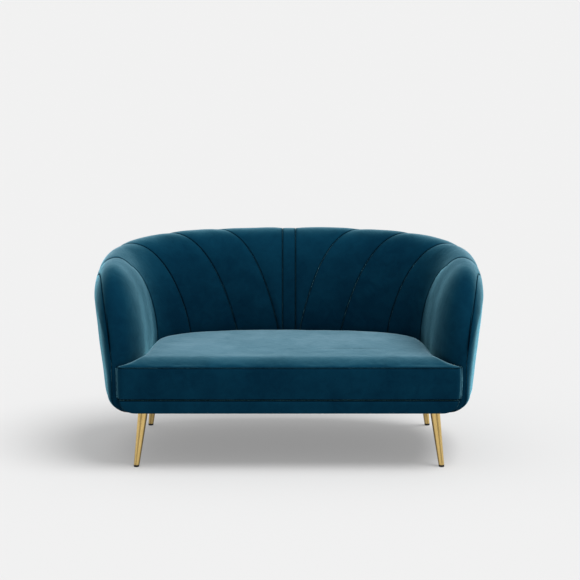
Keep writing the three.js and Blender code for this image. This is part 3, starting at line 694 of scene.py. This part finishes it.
CUSHION_PUCKER_REACH = 0.02
FLAT_FROM = 0.03  # the waves stand straight up this far inside the edge
FOOT_HELD = 0.003  # the cover lies still up to here above its foot
FOOT_DARK = 0.002  # and the painted shade is darkest up to here


def cushion_outline():
    """Plan outline of the seat cushion, anticlockwise, evenly spaced."""
    t = np.linspace(CUSHION_END_T, -CUSHION_END_T, 400)
    inner, outer = plan_pair(np.abs(t))
    inner = inner - unit(outer - inner, CUSHION_GAP)
    points = [np.stack([inner[:, 0] * np.sign(t), inner[:, 1]], -1)]
    for side in (-1, 1):
        centre = np.array([side * (CUSHION_HALF_X - CUSHION_CORNER), FRONT_Y + CUSHION_CORNER])
        angle = np.linspace(0, np.pi / 2, 9) + (np.pi if side < 0 else 1.5 * np.pi)
        points.append(centre + CUSHION_CORNER * np.stack([np.cos(angle), np.sin(angle)], -1))
    loop = np.concatenate(points)
    loop = np.concatenate([loop, loop[:1]])
    run = along(loop)
    even = np.linspace(0, run[-1], RING_POINTS + 1)[:-1]
    return np.stack([np.interp(even, run, loop[:, k]) for k in (0, 1)], -1)


def outline_distance(plan, outline, closed=True):
    """Distance of each plan point from an outline."""
    start = outline if closed else outline[:-1]
    step = (np.roll(outline, -1, axis=0) - outline)[:len(start)]
    nearest = np.full(plan.shape[:-1], FAR)
    for p, d in zip(start, step):
        share = np.clip((plan - p) @ d / (d @ d), 0, 1)
        nearest = np.minimum(nearest, np.linalg.norm(plan - p - share[..., None] * d, axis=-1))
    return nearest


def ring_normals(outline):
    step = np.roll(outline, -1, axis=0) - np.roll(outline, 1, axis=0)
    return unit(np.stack([step[:, 1], -step[:, 0]], -1))


def seam_groove(distance):
    """How far the cloth pulls in beside a sewn seam."""
    return SEAM_DEPTH * np.exp(-(distance / SEAM_REACH) ** 2)


def level_ring(plan, z):
    """A ring of points at plan places, with one height or a height for each."""
    return np.column_stack([plan, np.full(len(plan), z)])


def boxing_rings(outline):
    """The band round the cushion: round at its foot, swelling between its seams, grooved at the top."""
    normal = ring_normals(outline)
    low_z = CUSHION_LOW[2]
    bend_z = low_z + FOOT_ROLL
    free = smoothstep(-outline[:, 1], -FRONT_Y - FREE_REACH, -FRONT_Y)
    free = blend(HELD_BULGE, 1, free)
    shares = np.concatenate([np.arange(BOXING_ROWS) / BOXING_ROWS, 1 - np.array(RIM_SHARES)])
    rings = []
    for turn in FOOT_TURNS:
        inset = FOOT_ROLL * (1 - math.sin(turn))
        rings.append(level_ring(outline - normal * inset, low_z + FOOT_ROLL * (1 - math.cos(turn))))
    for share in np.unique(shares):
        z = blend(bend_z, CUSHION_SEAM_Z, share)
        out = BOXING_BULGE * math.sin(math.pi * share) * free - seam_groove(CUSHION_SEAM_Z - z)
        rings.append(level_ring(outline + normal * out[:, None], z))
    return rings


def cushion_spine(outline):
    """The line across the middle of the cushion that its rings shrink onto."""
    x = np.clip(outline[:, 0], -CUSHION_SPINE[0], CUSHION_SPINE[0])
    return np.column_stack([x, np.full(len(x), CUSHION_SPINE[1])])


def roll_share(distance, reach):
    """Height share of a padded edge: 0 at the seam, 1 once the roll is over."""
    return 1 - fade(distance, reach) ** TOP_ROLL_POWER


def top_rings(outline):
    """The top panel: a roll up from the seam, then a slight dome towards the spine."""
    spine = cushion_spine(outline)
    reach = np.linalg.norm(spine - outline, axis=-1, keepdims=True)
    # The sides and back as one open line that starts after the gap at the front.
    sides = outline[outline[:, 1] > FRONT_Y + 0.0001]
    gap = np.argmax(np.linalg.norm(np.roll(sides, -1, axis=0) - sides, axis=-1))
    sides = np.roll(sides, -gap - 1, axis=0)
    rings = []
    shares = [step / reach for step in TOP_STEPS]
    last = shares[-1]
    shares += [blend(last, TOP_MIDDLE, f) for f in np.linspace(0, 1, TOP_ROWS)[1:]]
    for share in shares:
        plan = blend(outline, spine, share)
        from_front = plan[:, 1] - FRONT_Y
        from_sides = outline_distance(plan, sides, closed=False)
        side_roll = blend(TOP_ROLL_BACK, TOP_ROLL_EAR, smoothstep(-plan[:, 1], *EAR_Y))
        rise = roll_share(from_front, TOP_ROLL_FRONT) * roll_share(from_sides, side_roll)
        dome = smoothstep(from_front, *DOME_REACH) * smoothstep(from_sides, *DOME_REACH)
        z = CUSHION_SEAM_Z + CUSHION_TOP * rise + CUSHION_DOME * dome
        rings.append(level_ring(plan, z - seam_groove(np.minimum(from_front, from_sides))))
    return rings


def underside_rings(outline):
    spine = cushion_spine(outline)
    edge = outline - ring_normals(outline) * FOOT_ROLL
    return [level_ring(blend(spine, edge, share), CUSHION_LOW[2]) for share in UNDERSIDE_SHARES]


def ring_solid(name, rings):
    """A closed solid from stacked rings with a flat cap at each end."""
    points = np.concatenate(rings)
    count = len(rings[0])
    faces = [tuple(range(count)), tuple(range(len(points) - 1, len(points) - count - 1, -1))]
    for j in range(len(rings) - 1):
        for i in range(count):
            a, b = j * count + i, j * count + (i + 1) % count
            faces.append((a, a + count, b + count, b))
    piece = make_object(name, points, faces)
    turn_out(piece)
    return piece


def cushion_lift(points, edge, from_seam):
    """Slack in the cover: broad waves, and short folds beside the seams."""
    held = np.clip(from_seam / CUSHION_PUCKER_REACH, 0, 1) * (points[:, 2] > CUSHION_LOW[2] + FOOT_HELD)
    wave = loose_cloth(points, 52, CUSHION_SLACK) * np.where(edge < 0.01, BOXING_SLACK, 1.0)
    folds = np.exp(-from_seam / CUSHION_PUCKER_REACH) * loose_cloth(points, 51, [CUSHION_PUCKER])
    return (wave + folds) * held


def seat_cushion():
    outline = cushion_outline()
    rings = underside_rings(outline) + boxing_rings(outline) + top_rings(outline)
    piece = ring_solid("velvet_seat_cushion", rings)
    points = np.concatenate(rings)
    normal = np.empty(points.size)
    piece.data.vertices.foreach_get("normal", normal)
    edge = outline_distance(points[:, :2], outline)
    from_seam = np.hypot(edge, points[:, 2] - CUSHION_SEAM_Z)
    lift = cushion_lift(points, edge, from_seam)[:, None]
    on_top = ((edge > FLAT_FROM) & (points[:, 2] > CUSHION_SEAM_Z))[:, None]
    points = points + np.where(on_top, (0.0, 0.0, 1.0), normal.reshape(-1, 3)) * lift
    piece.data.vertices.foreach_set("co", points.ravel())
    piece.data.update()
    # Painted shade along the foot of the boxing and beside the seam round the top.
    foot = np.maximum(points[:, 2] - CUSHION_LOW[2] - FOOT_DARK, 0) * SEAM_SHADE / FOOT_SHADE
    mark_seams(piece, np.minimum(from_seam * SEAM_SHADE / RIM_SHADE, foot))
    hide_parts("cushion_cover")
    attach(piece, "seat_cushion")
    return piece


# ---- Zip at the back of the cushion ----
ZIP_HALF_T = 0.416
ZIP_STEPS = 280  # places along the zip, one tooth at each
ZIP_PROUD = 0.0016  # the tape lies this far outside the cover
TOOTH = (0.0022, 0.0012, 0.0040)  # along the zip, out of the cover, up
TOOTH_BEVEL = 0.0004
TOOTH_OFFSET = 0.0007  # neighbouring teeth sit this much above and below the middle
SLIDER = (0.009, 0.0022, 0.011)
PULLER = (0.006, 0.0016, 0.022)
PULLER_DROP = 0.015
SLIDER_PLACE = ZIP_STEPS - 4
ZIP_TAPE_ROWS = (-1, -0.55, -0.2, 0.2, 0.55, 1)
ZIP_TAPE_DEPTH = 0.001
UP = np.array([0.0, 0.0, 1.0])


def zip_line(out_by):
    """Plan points along the cushion's back and their outward normals."""
    t = np.linspace(-ZIP_HALF_T, ZIP_HALF_T, ZIP_STEPS)
    inner = plan_pair(np.abs(t))[0]
    line = np.stack([inner[:, 0] * np.sign(t), inner[:, 1]], -1)
    step = unit(np.gradient(line, axis=0))
    out = np.stack([-step[:, 1], step[:, 0]], -1)
    return line + out * (out_by - CUSHION_GAP), step, out


def bevelled_box(mesh, place, height, along_way, out_way, size, bevel):
    """Adds to mesh, (points, faces), an upright box with two of its long edges cut back."""
    points, faces = mesh
    centre = np.array([place[0], place[1], height])
    half = [s / 2 for s in size]
    corners = [(-half[0] + bevel, half[1]), (half[0] - bevel, half[1]), (half[0], half[1] - bevel),
               (half[0], -half[1]), (-half[0], -half[1]), (-half[0], half[1] - bevel)]
    first, count = len(points), len(corners)
    for up in (-half[2], half[2]):
        points += [centre + np.append(along_way * a + out_way * b, 0) + UP * up for a, b in corners]
    sides = [(k, k + count, (k + 1) % count + count, (k + 1) % count) for k in range(count)]
    for face in [range(count), range(2 * count - 1, count - 1, -1), *sides]:
        faces.append(tuple(first + k for k in face))


def zip_tape(low, high):
    middle, half = (low + high) / 2, (high - low) / 2
    front, back = (np.stack([level_ring(zip_line(out)[0], middle + row * half) for row in ZIP_TAPE_ROWS])
                   for out in (ZIP_PROUD, -ZIP_TAPE_DEPTH))
    return closed_grid("zip_tape", front, back)


def zip_teeth(middle):
    """The row of teeth with its slider and puller."""
    mesh = ([], [])
    places, ways, outs = zip_line(ZIP_PROUD + TOOTH[1] / 2)
    for number, (place, way, out) in enumerate(zip(places, ways, outs)):
        height = middle + (TOOTH_OFFSET if number % 2 else -TOOTH_OFFSET)
        bevelled_box(mesh, place, height, way, out, TOOTH, TOOTH_BEVEL)
    way, out = ways[SLIDER_PLACE], outs[SLIDER_PLACE]
    place = places[SLIDER_PLACE] + out * TOOTH[1]
    bevelled_box(mesh, place, middle, way, out, SLIDER, TOOTH_OFFSET)
    bevelled_box(mesh, place, middle - PULLER_DROP, way, out, PULLER, TOOTH_OFFSET)
    piece = make_object("zip_teeth", *mesh, smooth=False)
    turn_out(piece)
    return piece


def zip_pieces():
    low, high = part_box("cushion_zip")
    tape, teeth = zip_tape(low[2], high[2]), zip_teeth((low[2] + high[2]) / 2)
    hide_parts("cushion_zip")
    for piece in (tape, teeth):
        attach(piece, "seat_cushion")
    return tape, teeth


# ---- Deck cloth and dust cover ----
CLOTH_THICK = 0.0012
SPRING_SPACING = 0.215
DECK_SAG = 0.0008
DECK_SLACK = 0.0006
DUST_SLACK = 0.0008
DUST_GAP = 0.0005
DECK_EDGE = 0.1  # the deck is held flat along the front rail and free this far behind it
DECK_EDGES = (2.78, -0.5, 0.012, 0.640, FRONT_Y + 0.014)  # end, row, depth, front half width, front y
DUST_EDGES = (2.6, 3, 0.009, 0.590, FRONT_Y + 0.015)


def shell_outline(end, v, inset, front_half_x, front_y):
    """Plan outline through the shell at one row, closed by a straight front edge."""
    t = np.linspace(end, -end, 120)
    curve = skin(t, np.full_like(t, float(v)), inset)[:, :2]
    return np.concatenate([curve, [(-front_half_x, front_y), (front_half_x, front_y)]])


def cloth_sheet(name, outline, height, columns, rows):
    """A thin closed sheet over a plan outline that is the same on both sides, at height(plan)."""
    y_low, y_high = outline[:, 1].min(), outline[:, 1].max()
    half = outline[outline[:, 0] >= 0]
    half = half[np.argsort(half[:, 1])]
    y = np.linspace(y_low, y_high - 0.0005, rows)
    right = np.interp(y, half[:, 1], half[:, 0])
    x = np.linspace(-1, 1, columns)[None, :] * right[:, None]
    plan = np.stack([x, np.repeat(y[:, None], columns, 1)], -1)
    z = height(plan)
    top = np.concatenate([plan, z[..., None]], -1)
    return closed_grid(name, top, top - np.array([0, 0, CLOTH_THICK]))


def flat_cloud(plan, scale, seed):
    """Smooth noise over a plan."""
    return cloud(np.concatenate([plan, 0 * plan[..., :1]], -1), scale, seed)


def deck_height(plan):
    """The deck sags a little between the springs and is pulled tight over each one."""
    wave = np.cos(plan[..., 0] / SPRING_SPACING * 2 * np.pi)
    edge = np.minimum(np.abs(plan[..., 1] - FRONT_Y), DECK_EDGE) / DECK_EDGE
    sag = DECK_SAG * (wave - 1) + DECK_SLACK * (flat_cloud(plan, 12, 61) - 1)
    return DECK_TOP_Z - DECK_SLACK + sag * edge


def dust_height(plan):
    """The dust cover hangs a little between its staples."""
    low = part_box("dust_cover")[0][2]
    return low + CLOTH_THICK + DUST_GAP + DUST_SLACK * (flat_cloud(plan, 6, 62) - 1)


def deck_and_dust():
    pieces = []
    for name, node, edges, height in (("deck_lining", "deck_cloth", DECK_EDGES, deck_height),
                                      ("dust_lining", "dust_cover", DUST_EDGES, dust_height)):
        outline = shell_outline(*edges)
        piece = cloth_sheet(name, outline, height, 150, 80)
        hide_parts(node)
        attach(piece, "sofa_body")
        pieces.append(piece)
    return pieces


# ---- Legs ----
LEG_TOP_RADIUS = 0.020
LEG_TIP_RADIUS = 0.0112
LEG_TIP_Z = 0.008
LEG_RIM = 0.0015  # the top edge is rounded over this much
LEG_LIP = 0.0012
LEG_SIDES = 72
GLIDE_PROFILE = [(0, 0.0076), (0.0105, 0.0076), (0.0110, 0.0070), (0.0110, 0.0016), (0.0106, 0.0006),
                 (0.0098, 0.0), (0, 0.0)]


def leg_profile(top_z):
    """(radius, height) down a leg: cap, bevel, straight taper, rounded tip."""
    profile = [(0, top_z), (LEG_TOP_RADIUS - LEG_RIM, top_z), (LEG_TOP_RADIUS - 0.0005, top_z - 0.0004),
               (LEG_TOP_RADIUS, top_z - LEG_RIM)]
    for share in np.linspace(0, 1, 26)[1:]:
        z = top_z - LEG_RIM + (LEG_TIP_Z + LEG_LIP - top_z + LEG_RIM) * share
        profile.append((blend(LEG_TOP_RADIUS, LEG_TIP_RADIUS, share), z))
    return profile + [(LEG_TIP_RADIUS - 0.0004, LEG_TIP_Z + 0.0003),
                      (LEG_TIP_RADIUS - LEG_LIP, LEG_TIP_Z), (0, LEG_TIP_Z)]


def lathed(name, profile, low_centre, top_centre, top_z):
    """A turned solid whose axis leans from low_centre on the floor to top_centre at top_z."""
    points, faces, rings = [], [], []
    for radius, z in profile:
        share = z / top_z
        centre = [blend(low_centre[k], top_centre[k], share) for k in (0, 1)]
        ring = []
        for k in range(LEG_SIDES if radius else 1):
            angle = 2 * math.pi * k / LEG_SIDES
            ring.append(len(points))
            points.append((centre[0] + radius * math.cos(angle), centre[1] + radius * math.sin(angle), z))
        rings.append(ring)
    for above, below in zip(rings, rings[1:]):
        for k in range(LEG_SIDES):
            n = (k + 1) % LEG_SIDES
            corners = [(above, k), (above, n), (below, n), (below, k)]
            faces.append(tuple(dict.fromkeys(ring[place % len(ring)] for ring, place in corners)))
    piece = make_object(name, points, faces)
    turn_out(piece)
    return piece


def middle_of(node):
    low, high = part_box(node)
    return [(low[k] + high[k]) / 2 for k in (0, 1)]


def legs():
    pieces = []
    for corner in ("front_left", "front_right", "back_left", "back_right"):
        ends = middle_of("foot_glide_" + corner), middle_of("leg_plate_" + corner), BASE_Z
        leg = lathed("brass_leg_" + corner, leg_profile(BASE_Z), *ends)
        glide = lathed("glide_" + corner, GLIDE_PROFILE, *ends)
        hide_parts("leg_" + corner)
        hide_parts("foot_glide_" + corner)
        for piece in (leg, glide):
            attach(piece, "sofa_body")
        pieces.append((leg, glide))
    return pieces


# ---- Materials ----
class Nodes:
    """Builds one node material. Its methods return sockets; finish and mottled return the material."""

    def __init__(self, name):
        self.material = bpy.data.materials.new(name)
        self.material.use_nodes = True
        self.tree = self.material.node_tree
        self.shader = self.tree.nodes["Principled BSDF"]
        self.place = self.new("ShaderNodeTexCoord").outputs["Object"]

    def new(self, kind, **settings):
        node = self.tree.nodes.new(kind)
        for key, value in settings.items():
            setattr(node, key, value)
        return node

    def feed(self, socket, value):
        if isinstance(value, bpy.types.NodeSocket):
            self.tree.links.new(value, socket)
        else:
            socket.default_value = value

    def scaled(self, scale):
        node = self.new("ShaderNodeMapping")
        self.feed(node.inputs["Vector"], self.place)
        node.inputs["Scale"].default_value = scale
        return node.outputs[0]

    def noise(self, scale, detail=2.0, rough=0.5, place=None, distortion=0.0):
        node = self.new("ShaderNodeTexNoise")
        self.feed(node.inputs["Vector"], place or self.place)
        settings = {"Scale": scale, "Detail": detail, "Roughness": rough, "Distortion": distortion}
        for key, value in settings.items():
            node.inputs[key].default_value = value
        return node.outputs["Fac"]

    def ramp(self, value, *stops):
        node = self.new("ShaderNodeMapRange", clamp=True)
        self.feed(node.inputs["Value"], value)
        for key, number in zip(("From Min", "From Max", "To Min", "To Max"), stops):
            node.inputs[key].default_value = number
        return node.outputs[0]

    def maths(self, kind, a, b=0.0):
        node = self.new("ShaderNodeMath", operation=kind)
        self.feed(node.inputs[0], a)
        self.feed(node.inputs[1], b)
        return node.outputs[0]

    def mix(self, share, a, b):
        node = self.new("ShaderNodeMix", data_type="RGBA")
        self.feed(node.inputs[0], share)
        self.feed(node.inputs[6], a)
        self.feed(node.inputs[7], b)
        return node.outputs[2]

    def bump(self, height, strength, distance, under=None):
        node = self.new("ShaderNodeBump")
        self.feed(node.inputs["Height"], height)
        node.inputs["Strength"].default_value = strength
        node.inputs["Distance"].default_value = distance
        if under is not None:
            self.feed(node.inputs["Normal"], under)
        return node.outputs[0]

    def finish(self, colour, roughness, normal=None, **fixed):
        self.feed(self.shader.inputs["Base Color"], colour)
        self.feed(self.shader.inputs["Roughness"], roughness)
        if normal is not None:
            self.feed(self.shader.inputs["Normal"], normal)
        for key, value in fixed.items():
            self.shader.inputs[key.replace("_", " ")].default_value = value
        return self.material

    def mottled(self, colour_noise, share, colours, roughness, bump, grain=None, **fixed):
        """A finish whose colour and roughness follow one noise, and its bumps that or a finer one."""
        mottle = self.noise(*colour_noise)
        height = self.noise(*grain) if grain else mottle
        colour = self.mix(self.ramp(mottle, *share, 0, 1), *colours)
        rough = self.ramp(mottle, 0.3, 0.7, *roughness)
        return self.finish(colour, rough, self.bump(height, *bump), **fixed)


VELVET_DEEP = (0.0014, 0.0190, 0.0420, 1)
VELVET_LIGHT = (0.0040, 0.048, 0.090, 1)
# Painted seam shade: the near-black colour the velvet turns to beside its seams.
VELVET_SEAM_SHADE = (0.0002, 0.0050, 0.0110, 1)
VELVET_PAINTED_SHEEN = (0.36, 0.50, 0.60, 1)
VELVET_PAINTED_SHEEN_LOW = (0.05, 0.47, 0.59, 1)  # the colour the painted sheen starts to pale towards
REDDEN_POWER = 0.45
UPRIGHT_GLANCE = 0.25  # share of the painted sheen left on a face that points a little down; painted light from above
VELVET_SHEEN = (0.30, 0.80, 1.0, 1)
GLANCE_POWER = 2.9  # how fast the painted sheen pales the colour towards a glancing view


def velvet():
    """Short cut pile with brushed patches: dark where seen straight on, a painted sheen that turns it pale
    at a glancing angle, painted light from above and painted shade at the seams.
    """
    n = Nodes("teal velvet")
    patches = n.noise(5.5, 3, 0.5, distortion=0.6)
    nap = n.noise(26, 4, 0.6, distortion=0.8)
    tufts = n.noise(620, 2, 0.6)
    pile = n.noise(2400, 2, 0.7)
    brushed = n.maths("ADD", n.maths("MULTIPLY", patches, 0.6), n.maths("MULTIPLY", nap, 0.4))
    share = n.ramp(brushed, 0.38, 0.62, 0.18, 0.58)
    share = n.maths("ADD", share, n.ramp(tufts, 0.3, 0.7, -0.12, 0.12))
    colour = n.mix(share, VELVET_DEEP, VELVET_LIGHT)
    lay = n.bump(nap, 0.25, 0.004)
    rows = n.bump(tufts, 0.35, 0.0006, lay)
    normal = n.bump(pile, 0.45, 0.0003, rows)
    seam = n.new("ShaderNodeAttribute", attribute_name="seam").outputs["Fac"]
    facing = n.new("ShaderNodeLayerWeight")
    facing.inputs["Blend"].default_value = 0.5
    n.feed(facing.inputs["Normal"], normal)
    # Painted sheen: the colour pales where the surface is seen at a glancing angle.
    glance = n.maths("POWER", facing.outputs["Facing"], GLANCE_POWER)
    glance = n.maths("MULTIPLY", glance, n.ramp(brushed, 0.35, 0.65, 0.86, 1.1))
    # Painted seam shade also takes the painted sheen away beside the seams.
    glance = n.maths("MULTIPLY", glance, n.ramp(seam, 0.0, 0.7, 1.0, 0.0))
    # Painted light from above: faces turned up get more of the painted sheen than upright ones.
    split = n.new("ShaderNodeSeparateXYZ")
    n.feed(split.inputs[0], n.new("ShaderNodeNewGeometry").outputs["Normal"])
    turned_up = split.outputs["Z"]
    glance = n.maths("MULTIPLY", glance, n.ramp(turned_up, -0.2, 0.8, UPRIGHT_GLANCE, 1.0))
    # The painted sheen's colour: its red comes in later than its green and blue.
    pale = n.mix(n.maths("POWER", glance, REDDEN_POWER), VELVET_PAINTED_SHEEN_LOW, VELVET_PAINTED_SHEEN)
    colour = n.mix(glance, colour, pale)
    # Painted seam shade: the colour darkens towards near-black at the seams.
    colour = n.mix(n.ramp(seam, 0.1, 0.9, 0.0, 0.9), colour, VELVET_SEAM_SHADE)
    return n.finish(colour, n.ramp(nap, 0.3, 0.7, 0.78, 0.96), normal, Specular_IOR_Level=0.0,
                    Sheen_Weight=1.0, Sheen_Roughness=0.25, Sheen_Tint=VELVET_SHEEN)


def seam_shadow_cloth():
    """Painted seam shadow: a near-black velvet for the fabric folded into the seams, which no light
    reaches.
    """
    return Nodes("painted seam shadow").mottled(
        (700, 3, 0.6), (0.3, 0.7), ((0.0001, 0.0030, 0.0070, 1), (0.0003, 0.0060, 0.0130, 1)),
        (0.95, 1.0), (0.3, 0.0003), Specular_IOR_Level=0.0)


BRASS_GOLD = (0.76, 0.545, 0.215, 1)
BRASS_WORN = (0.66, 0.455, 0.165, 1)
# The dark colour of the painted reflections down the legs' sides.
BRASS_REFLECTED_DARK = (0.085, 0.052, 0.016, 1)
BRASS_SHADE = (0.50, 0.95, 0.85)  # (from, to, depth) of the painted reflection that darkens the side of the tube facing the middle of the sofa
BRASS_REFLECTED_LINE = (-0.12, -0.30, 0.45)  # and of a painted reflection, a dark line on its other side
BRASS_LINE_EDGE = 0.12


def brass():
    """Satin brass, brushed along the leg: long fine scratches, and painted reflections as darker streaks
    down its sides.
    """
    n = Nodes("brushed brass")
    brushing = n.noise(60, 3, 0.6, n.scaled((9, 9, 0.35)))
    marks = n.noise(14, 3, 0.5)
    split = n.new("ShaderNodeSeparateXYZ")
    n.feed(split.inputs[0], n.new("ShaderNodeNewGeometry").outputs["Normal"])
    place = n.new("ShaderNodeSeparateXYZ")
    n.feed(place.inputs[0], n.place)
    # Positive on the side that faces the middle of the sofa.
    sideways = n.maths("MULTIPLY", split.outputs["X"], n.ramp(place.outputs["X"], -0.01, 0.01, 1, -1))
    colour = n.mix(n.ramp(brushing, 0.35, 0.65, 0, 1), BRASS_GOLD, BRASS_WORN)
    # Painted reflection: darker on the side facing the middle of the sofa, and a dark line on the other
    # side.
    shade_start, shade_end, shade_depth = BRASS_SHADE
    colour = n.mix(n.ramp(sideways, shade_start, shade_end, 0, shade_depth), colour, BRASS_REFLECTED_DARK)
    start, end, depth = BRASS_REFLECTED_LINE
    line = n.maths("MULTIPLY", n.ramp(sideways, end - BRASS_LINE_EDGE, end, 0, depth),
                   n.ramp(sideways, start, start + BRASS_LINE_EDGE, 1, 0))
    colour = n.mix(line, colour, BRASS_REFLECTED_DARK)
    roughness = n.maths("ADD", n.ramp(marks, 0.3, 0.7, 0.19, 0.25), n.ramp(brushing, 0.3, 0.7, -0.02, 0.03))
    return n.finish(colour, roughness, n.bump(brushing, 0.12, 0.0002), Metallic=1.0)


def lining():
    """Black spun-bonded lining cloth with a dimpled bond pattern."""
    n = Nodes("black lining")
    fibres = n.noise(900, 3, 0.7)
    dimples = n.noise(380, 1, 0.4)
    colour = n.mix(n.ramp(fibres, 0.3, 0.7, 0, 1), (0.006, 0.006, 0.007, 1), (0.022, 0.022, 0.025, 1))
    normal = n.bump(dimples, 0.5, 0.0006, n.bump(fibres, 0.4, 0.0003))
    return n.finish(colour, n.ramp(fibres, 0.3, 0.7, 0.82, 0.98), normal)


def timber():
    """Sawn pale timber: long grain, pores and a little saw texture."""
    n = Nodes("frame timber")
    grain = n.noise(9, 6, 0.6, n.scaled((2.2, 14, 14)), distortion=0.7)
    pores = n.noise(160, 2, 0.6, n.scaled((0.7, 5, 5)))
    colour = n.mix(n.ramp(grain, 0.3, 0.7, 0, 1), (0.55, 0.36, 0.17, 1), (0.30, 0.165, 0.065, 1))
    colour = n.mix(n.ramp(pores, 0.58, 0.72, 0, 0.5), colour, (0.12, 0.06, 0.025, 1))
    return n.finish(colour, n.ramp(grain, 0.3, 0.7, 0.55, 0.75), n.bump(pores, 0.4, 0.0006))


def board():
    """Compressed fibre board."""
    return Nodes("fibre board").mottled(
        (240, 4, 0.7), (0.3, 0.7), ((0.36, 0.21, 0.10, 1), (0.20, 0.11, 0.05, 1)), (0.7, 0.9),
        (0.4, 0.0006))


def steel():
    """Zinc-plated steel with a faint spangle."""
    return Nodes("plated steel").mottled(
        (90, 3, 0.6), (0.35, 0.65), ((0.56, 0.57, 0.58, 1), (0.42, 0.43, 0.45, 1)), (0.28, 0.45),
        (0.1, 0.0003), Metallic=1.0)


def foam():
    """Open-cell cushion foam."""
    return Nodes("cushion foam").mottled(
        (1100, 2, 0.8), (0.3, 0.7), ((0.78, 0.70, 0.46, 1), (0.60, 0.52, 0.31, 1)), (0.9, 1.0),
        (0.7, 0.001))


def black_plastic(name, low, high):
    """Moulded black plastic with a fine spark texture."""
    return Nodes(name).mottled(
        (70, 5, 0.7), (0.45, 0.75), (low, high), (0.40, 0.60), (0.35, 0.0002), grain=(1500, 2, 0.6))


def floor_paper():
    """Pale studio floor."""
    n = Nodes("studio floor")
    greys = [(tone, tone, tone, 1) for tone in FLOOR_TONES]
    return n.mottled((3.0, 2, 0.5), (0.3, 0.7), greys, (0.95, 1.0), (0.02, 0.0002), grain=(400, 2),
                     Specular_IOR_Level=0.0, Emission_Color=(1, 1, 1, 1), Emission_Strength=FLOOR_GLOW)


def paint(objects, material):
    for piece in objects:
        piece.data.materials.clear()
        piece.data.materials.append(material)


def paint_node(name, material):
    """A CAD node keeps its mesh and gets a new finish in its object's slots."""
    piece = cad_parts[name]
    for slot in piece.material_slots:
        slot.link = "OBJECT"
        slot.material = material


# ---- Studio ----
FLOOR_HALF = 300.0
FLOOR_TONES = (0.475, 0.47405)
FLOOR_GLOW = 0.27  # painted light: the studio floor glows a little, as if lit from below, which softens the shadow
SKY = ((0.0, 0.12), (0.15, 0.14), (0.5, 0.32), (0.9, 0.9))  # (sine of the height, brightness)
SOFTBOX = (2.45, 35, 24, 72)  # energy, spread, tilt from overhead, turn towards +X
SENSOR = 36.0
LENS = 108.434483
LENS_SHIFT = 0.0017241379
CAMERA_PLACE = (0.0, -6.925, 2.1533)
CAMERA_PITCH = 0.21513


def floor():
    points = [(-FLOOR_HALF, -FLOOR_HALF, 0), (FLOOR_HALF, -FLOOR_HALF, 0),
              (FLOOR_HALF, FLOOR_HALF, 0), (-FLOOR_HALF, FLOOR_HALF, 0)]
    piece = make_object("studio_floor", points, [(0, 1, 2, 3)], smooth=False)
    paint([piece], floor_paper())


def sky():
    """An even studio sky, brightest overhead."""
    world = bpy.data.worlds.new("studio")
    world.use_nodes = True
    tree = world.node_tree
    place = tree.nodes.new("ShaderNodeTexCoord").outputs["Generated"]
    split = tree.nodes.new("ShaderNodeSeparateXYZ")
    curve = tree.nodes.new("ShaderNodeFloatCurve")
    brightest = max(value for _, value in SKY)
    line = curve.mapping.curves[0]
    while len(line.points) < len(SKY):
        line.points.new(0.5, 0.5)
    for point, (height, value) in zip(line.points, SKY):
        point.location = (height, value / brightest)
    curve.mapping.update()
    gain = tree.nodes.new("ShaderNodeMath")
    gain.operation = "MULTIPLY"
    gain.inputs[1].default_value = brightest
    background = tree.nodes["Background"]
    background.inputs["Color"].default_value = (1, 1, 1, 1)
    tree.links.new(place, split.inputs[0])
    tree.links.new(split.outputs["Z"], curve.inputs["Value"])
    tree.links.new(curve.outputs[0], gain.inputs[0])
    tree.links.new(gain.outputs[0], background.inputs["Strength"])
    bpy.context.scene.world = world


def sun(name, energy, spread_degrees, tilt, turn):
    light = bpy.data.lights.new(name, "SUN")
    light.energy = energy
    light.angle = math.radians(spread_degrees)
    lamp = bpy.data.objects.new(name, light)
    lamp.rotation_euler = (math.radians(tilt), 0, math.radians(turn))
    bpy.context.scene.collection.objects.link(lamp)


def camera():
    data = bpy.data.cameras.new("camera")
    data.sensor_width = SENSOR
    data.lens = LENS
    data.shift_x = LENS_SHIFT
    data.clip_end = 2 * FLOOR_HALF
    piece = bpy.data.objects.new("camera", data)
    piece.location = CAMERA_PLACE
    piece.rotation_euler = (math.pi / 2 - CAMERA_PITCH, 0, 0)
    bpy.context.scene.collection.objects.link(piece)
    bpy.context.scene.camera = piece
    bpy.context.scene.view_settings.view_transform = "Standard"


# ---- The scene ----
GLIDE_BLACK = ((0.006, 0.006, 0.006, 1), (0.02, 0.02, 0.02, 1))
ZIP_BLACK = ((0.004, 0.012, 0.018, 1), (0.01, 0.03, 0.04, 1))


def paint_hidden():
    """New finishes for the CAD nodes that no visual piece replaces."""
    wood, metal = timber(), steel()
    finishes = {"post": wood, "base_rail": wood, "top_rail": wood, "leg_block": wood, "liner": board(),
                "leg_plate": metal, "spring": metal, "cushion_foam": foam()}
    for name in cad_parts:
        for start, material in finishes.items():
            if name.startswith(start):
                paint_node(name, material)


def main():
    covers = tub_covers()
    tapes = seam_tapes()
    border = front_border()
    cushion = seat_cushion()
    tape, teeth = zip_pieces()
    deck, dust = deck_and_dust()
    leg_pairs = legs()

    paint(covers + [border, cushion], velvet())
    paint([deck, dust], lining())
    paint(tapes, seam_shadow_cloth())
    paint([leg for leg, _ in leg_pairs], brass())
    paint([glide for _, glide in leg_pairs], black_plastic("glide plastic", *GLIDE_BLACK))
    paint([tape], lining())
    paint([teeth], black_plastic("zip plastic", *ZIP_BLACK))
    paint_hidden()

    floor()
    sky()
    sun("overhead softbox", *SOFTBOX)
    camera()


main()
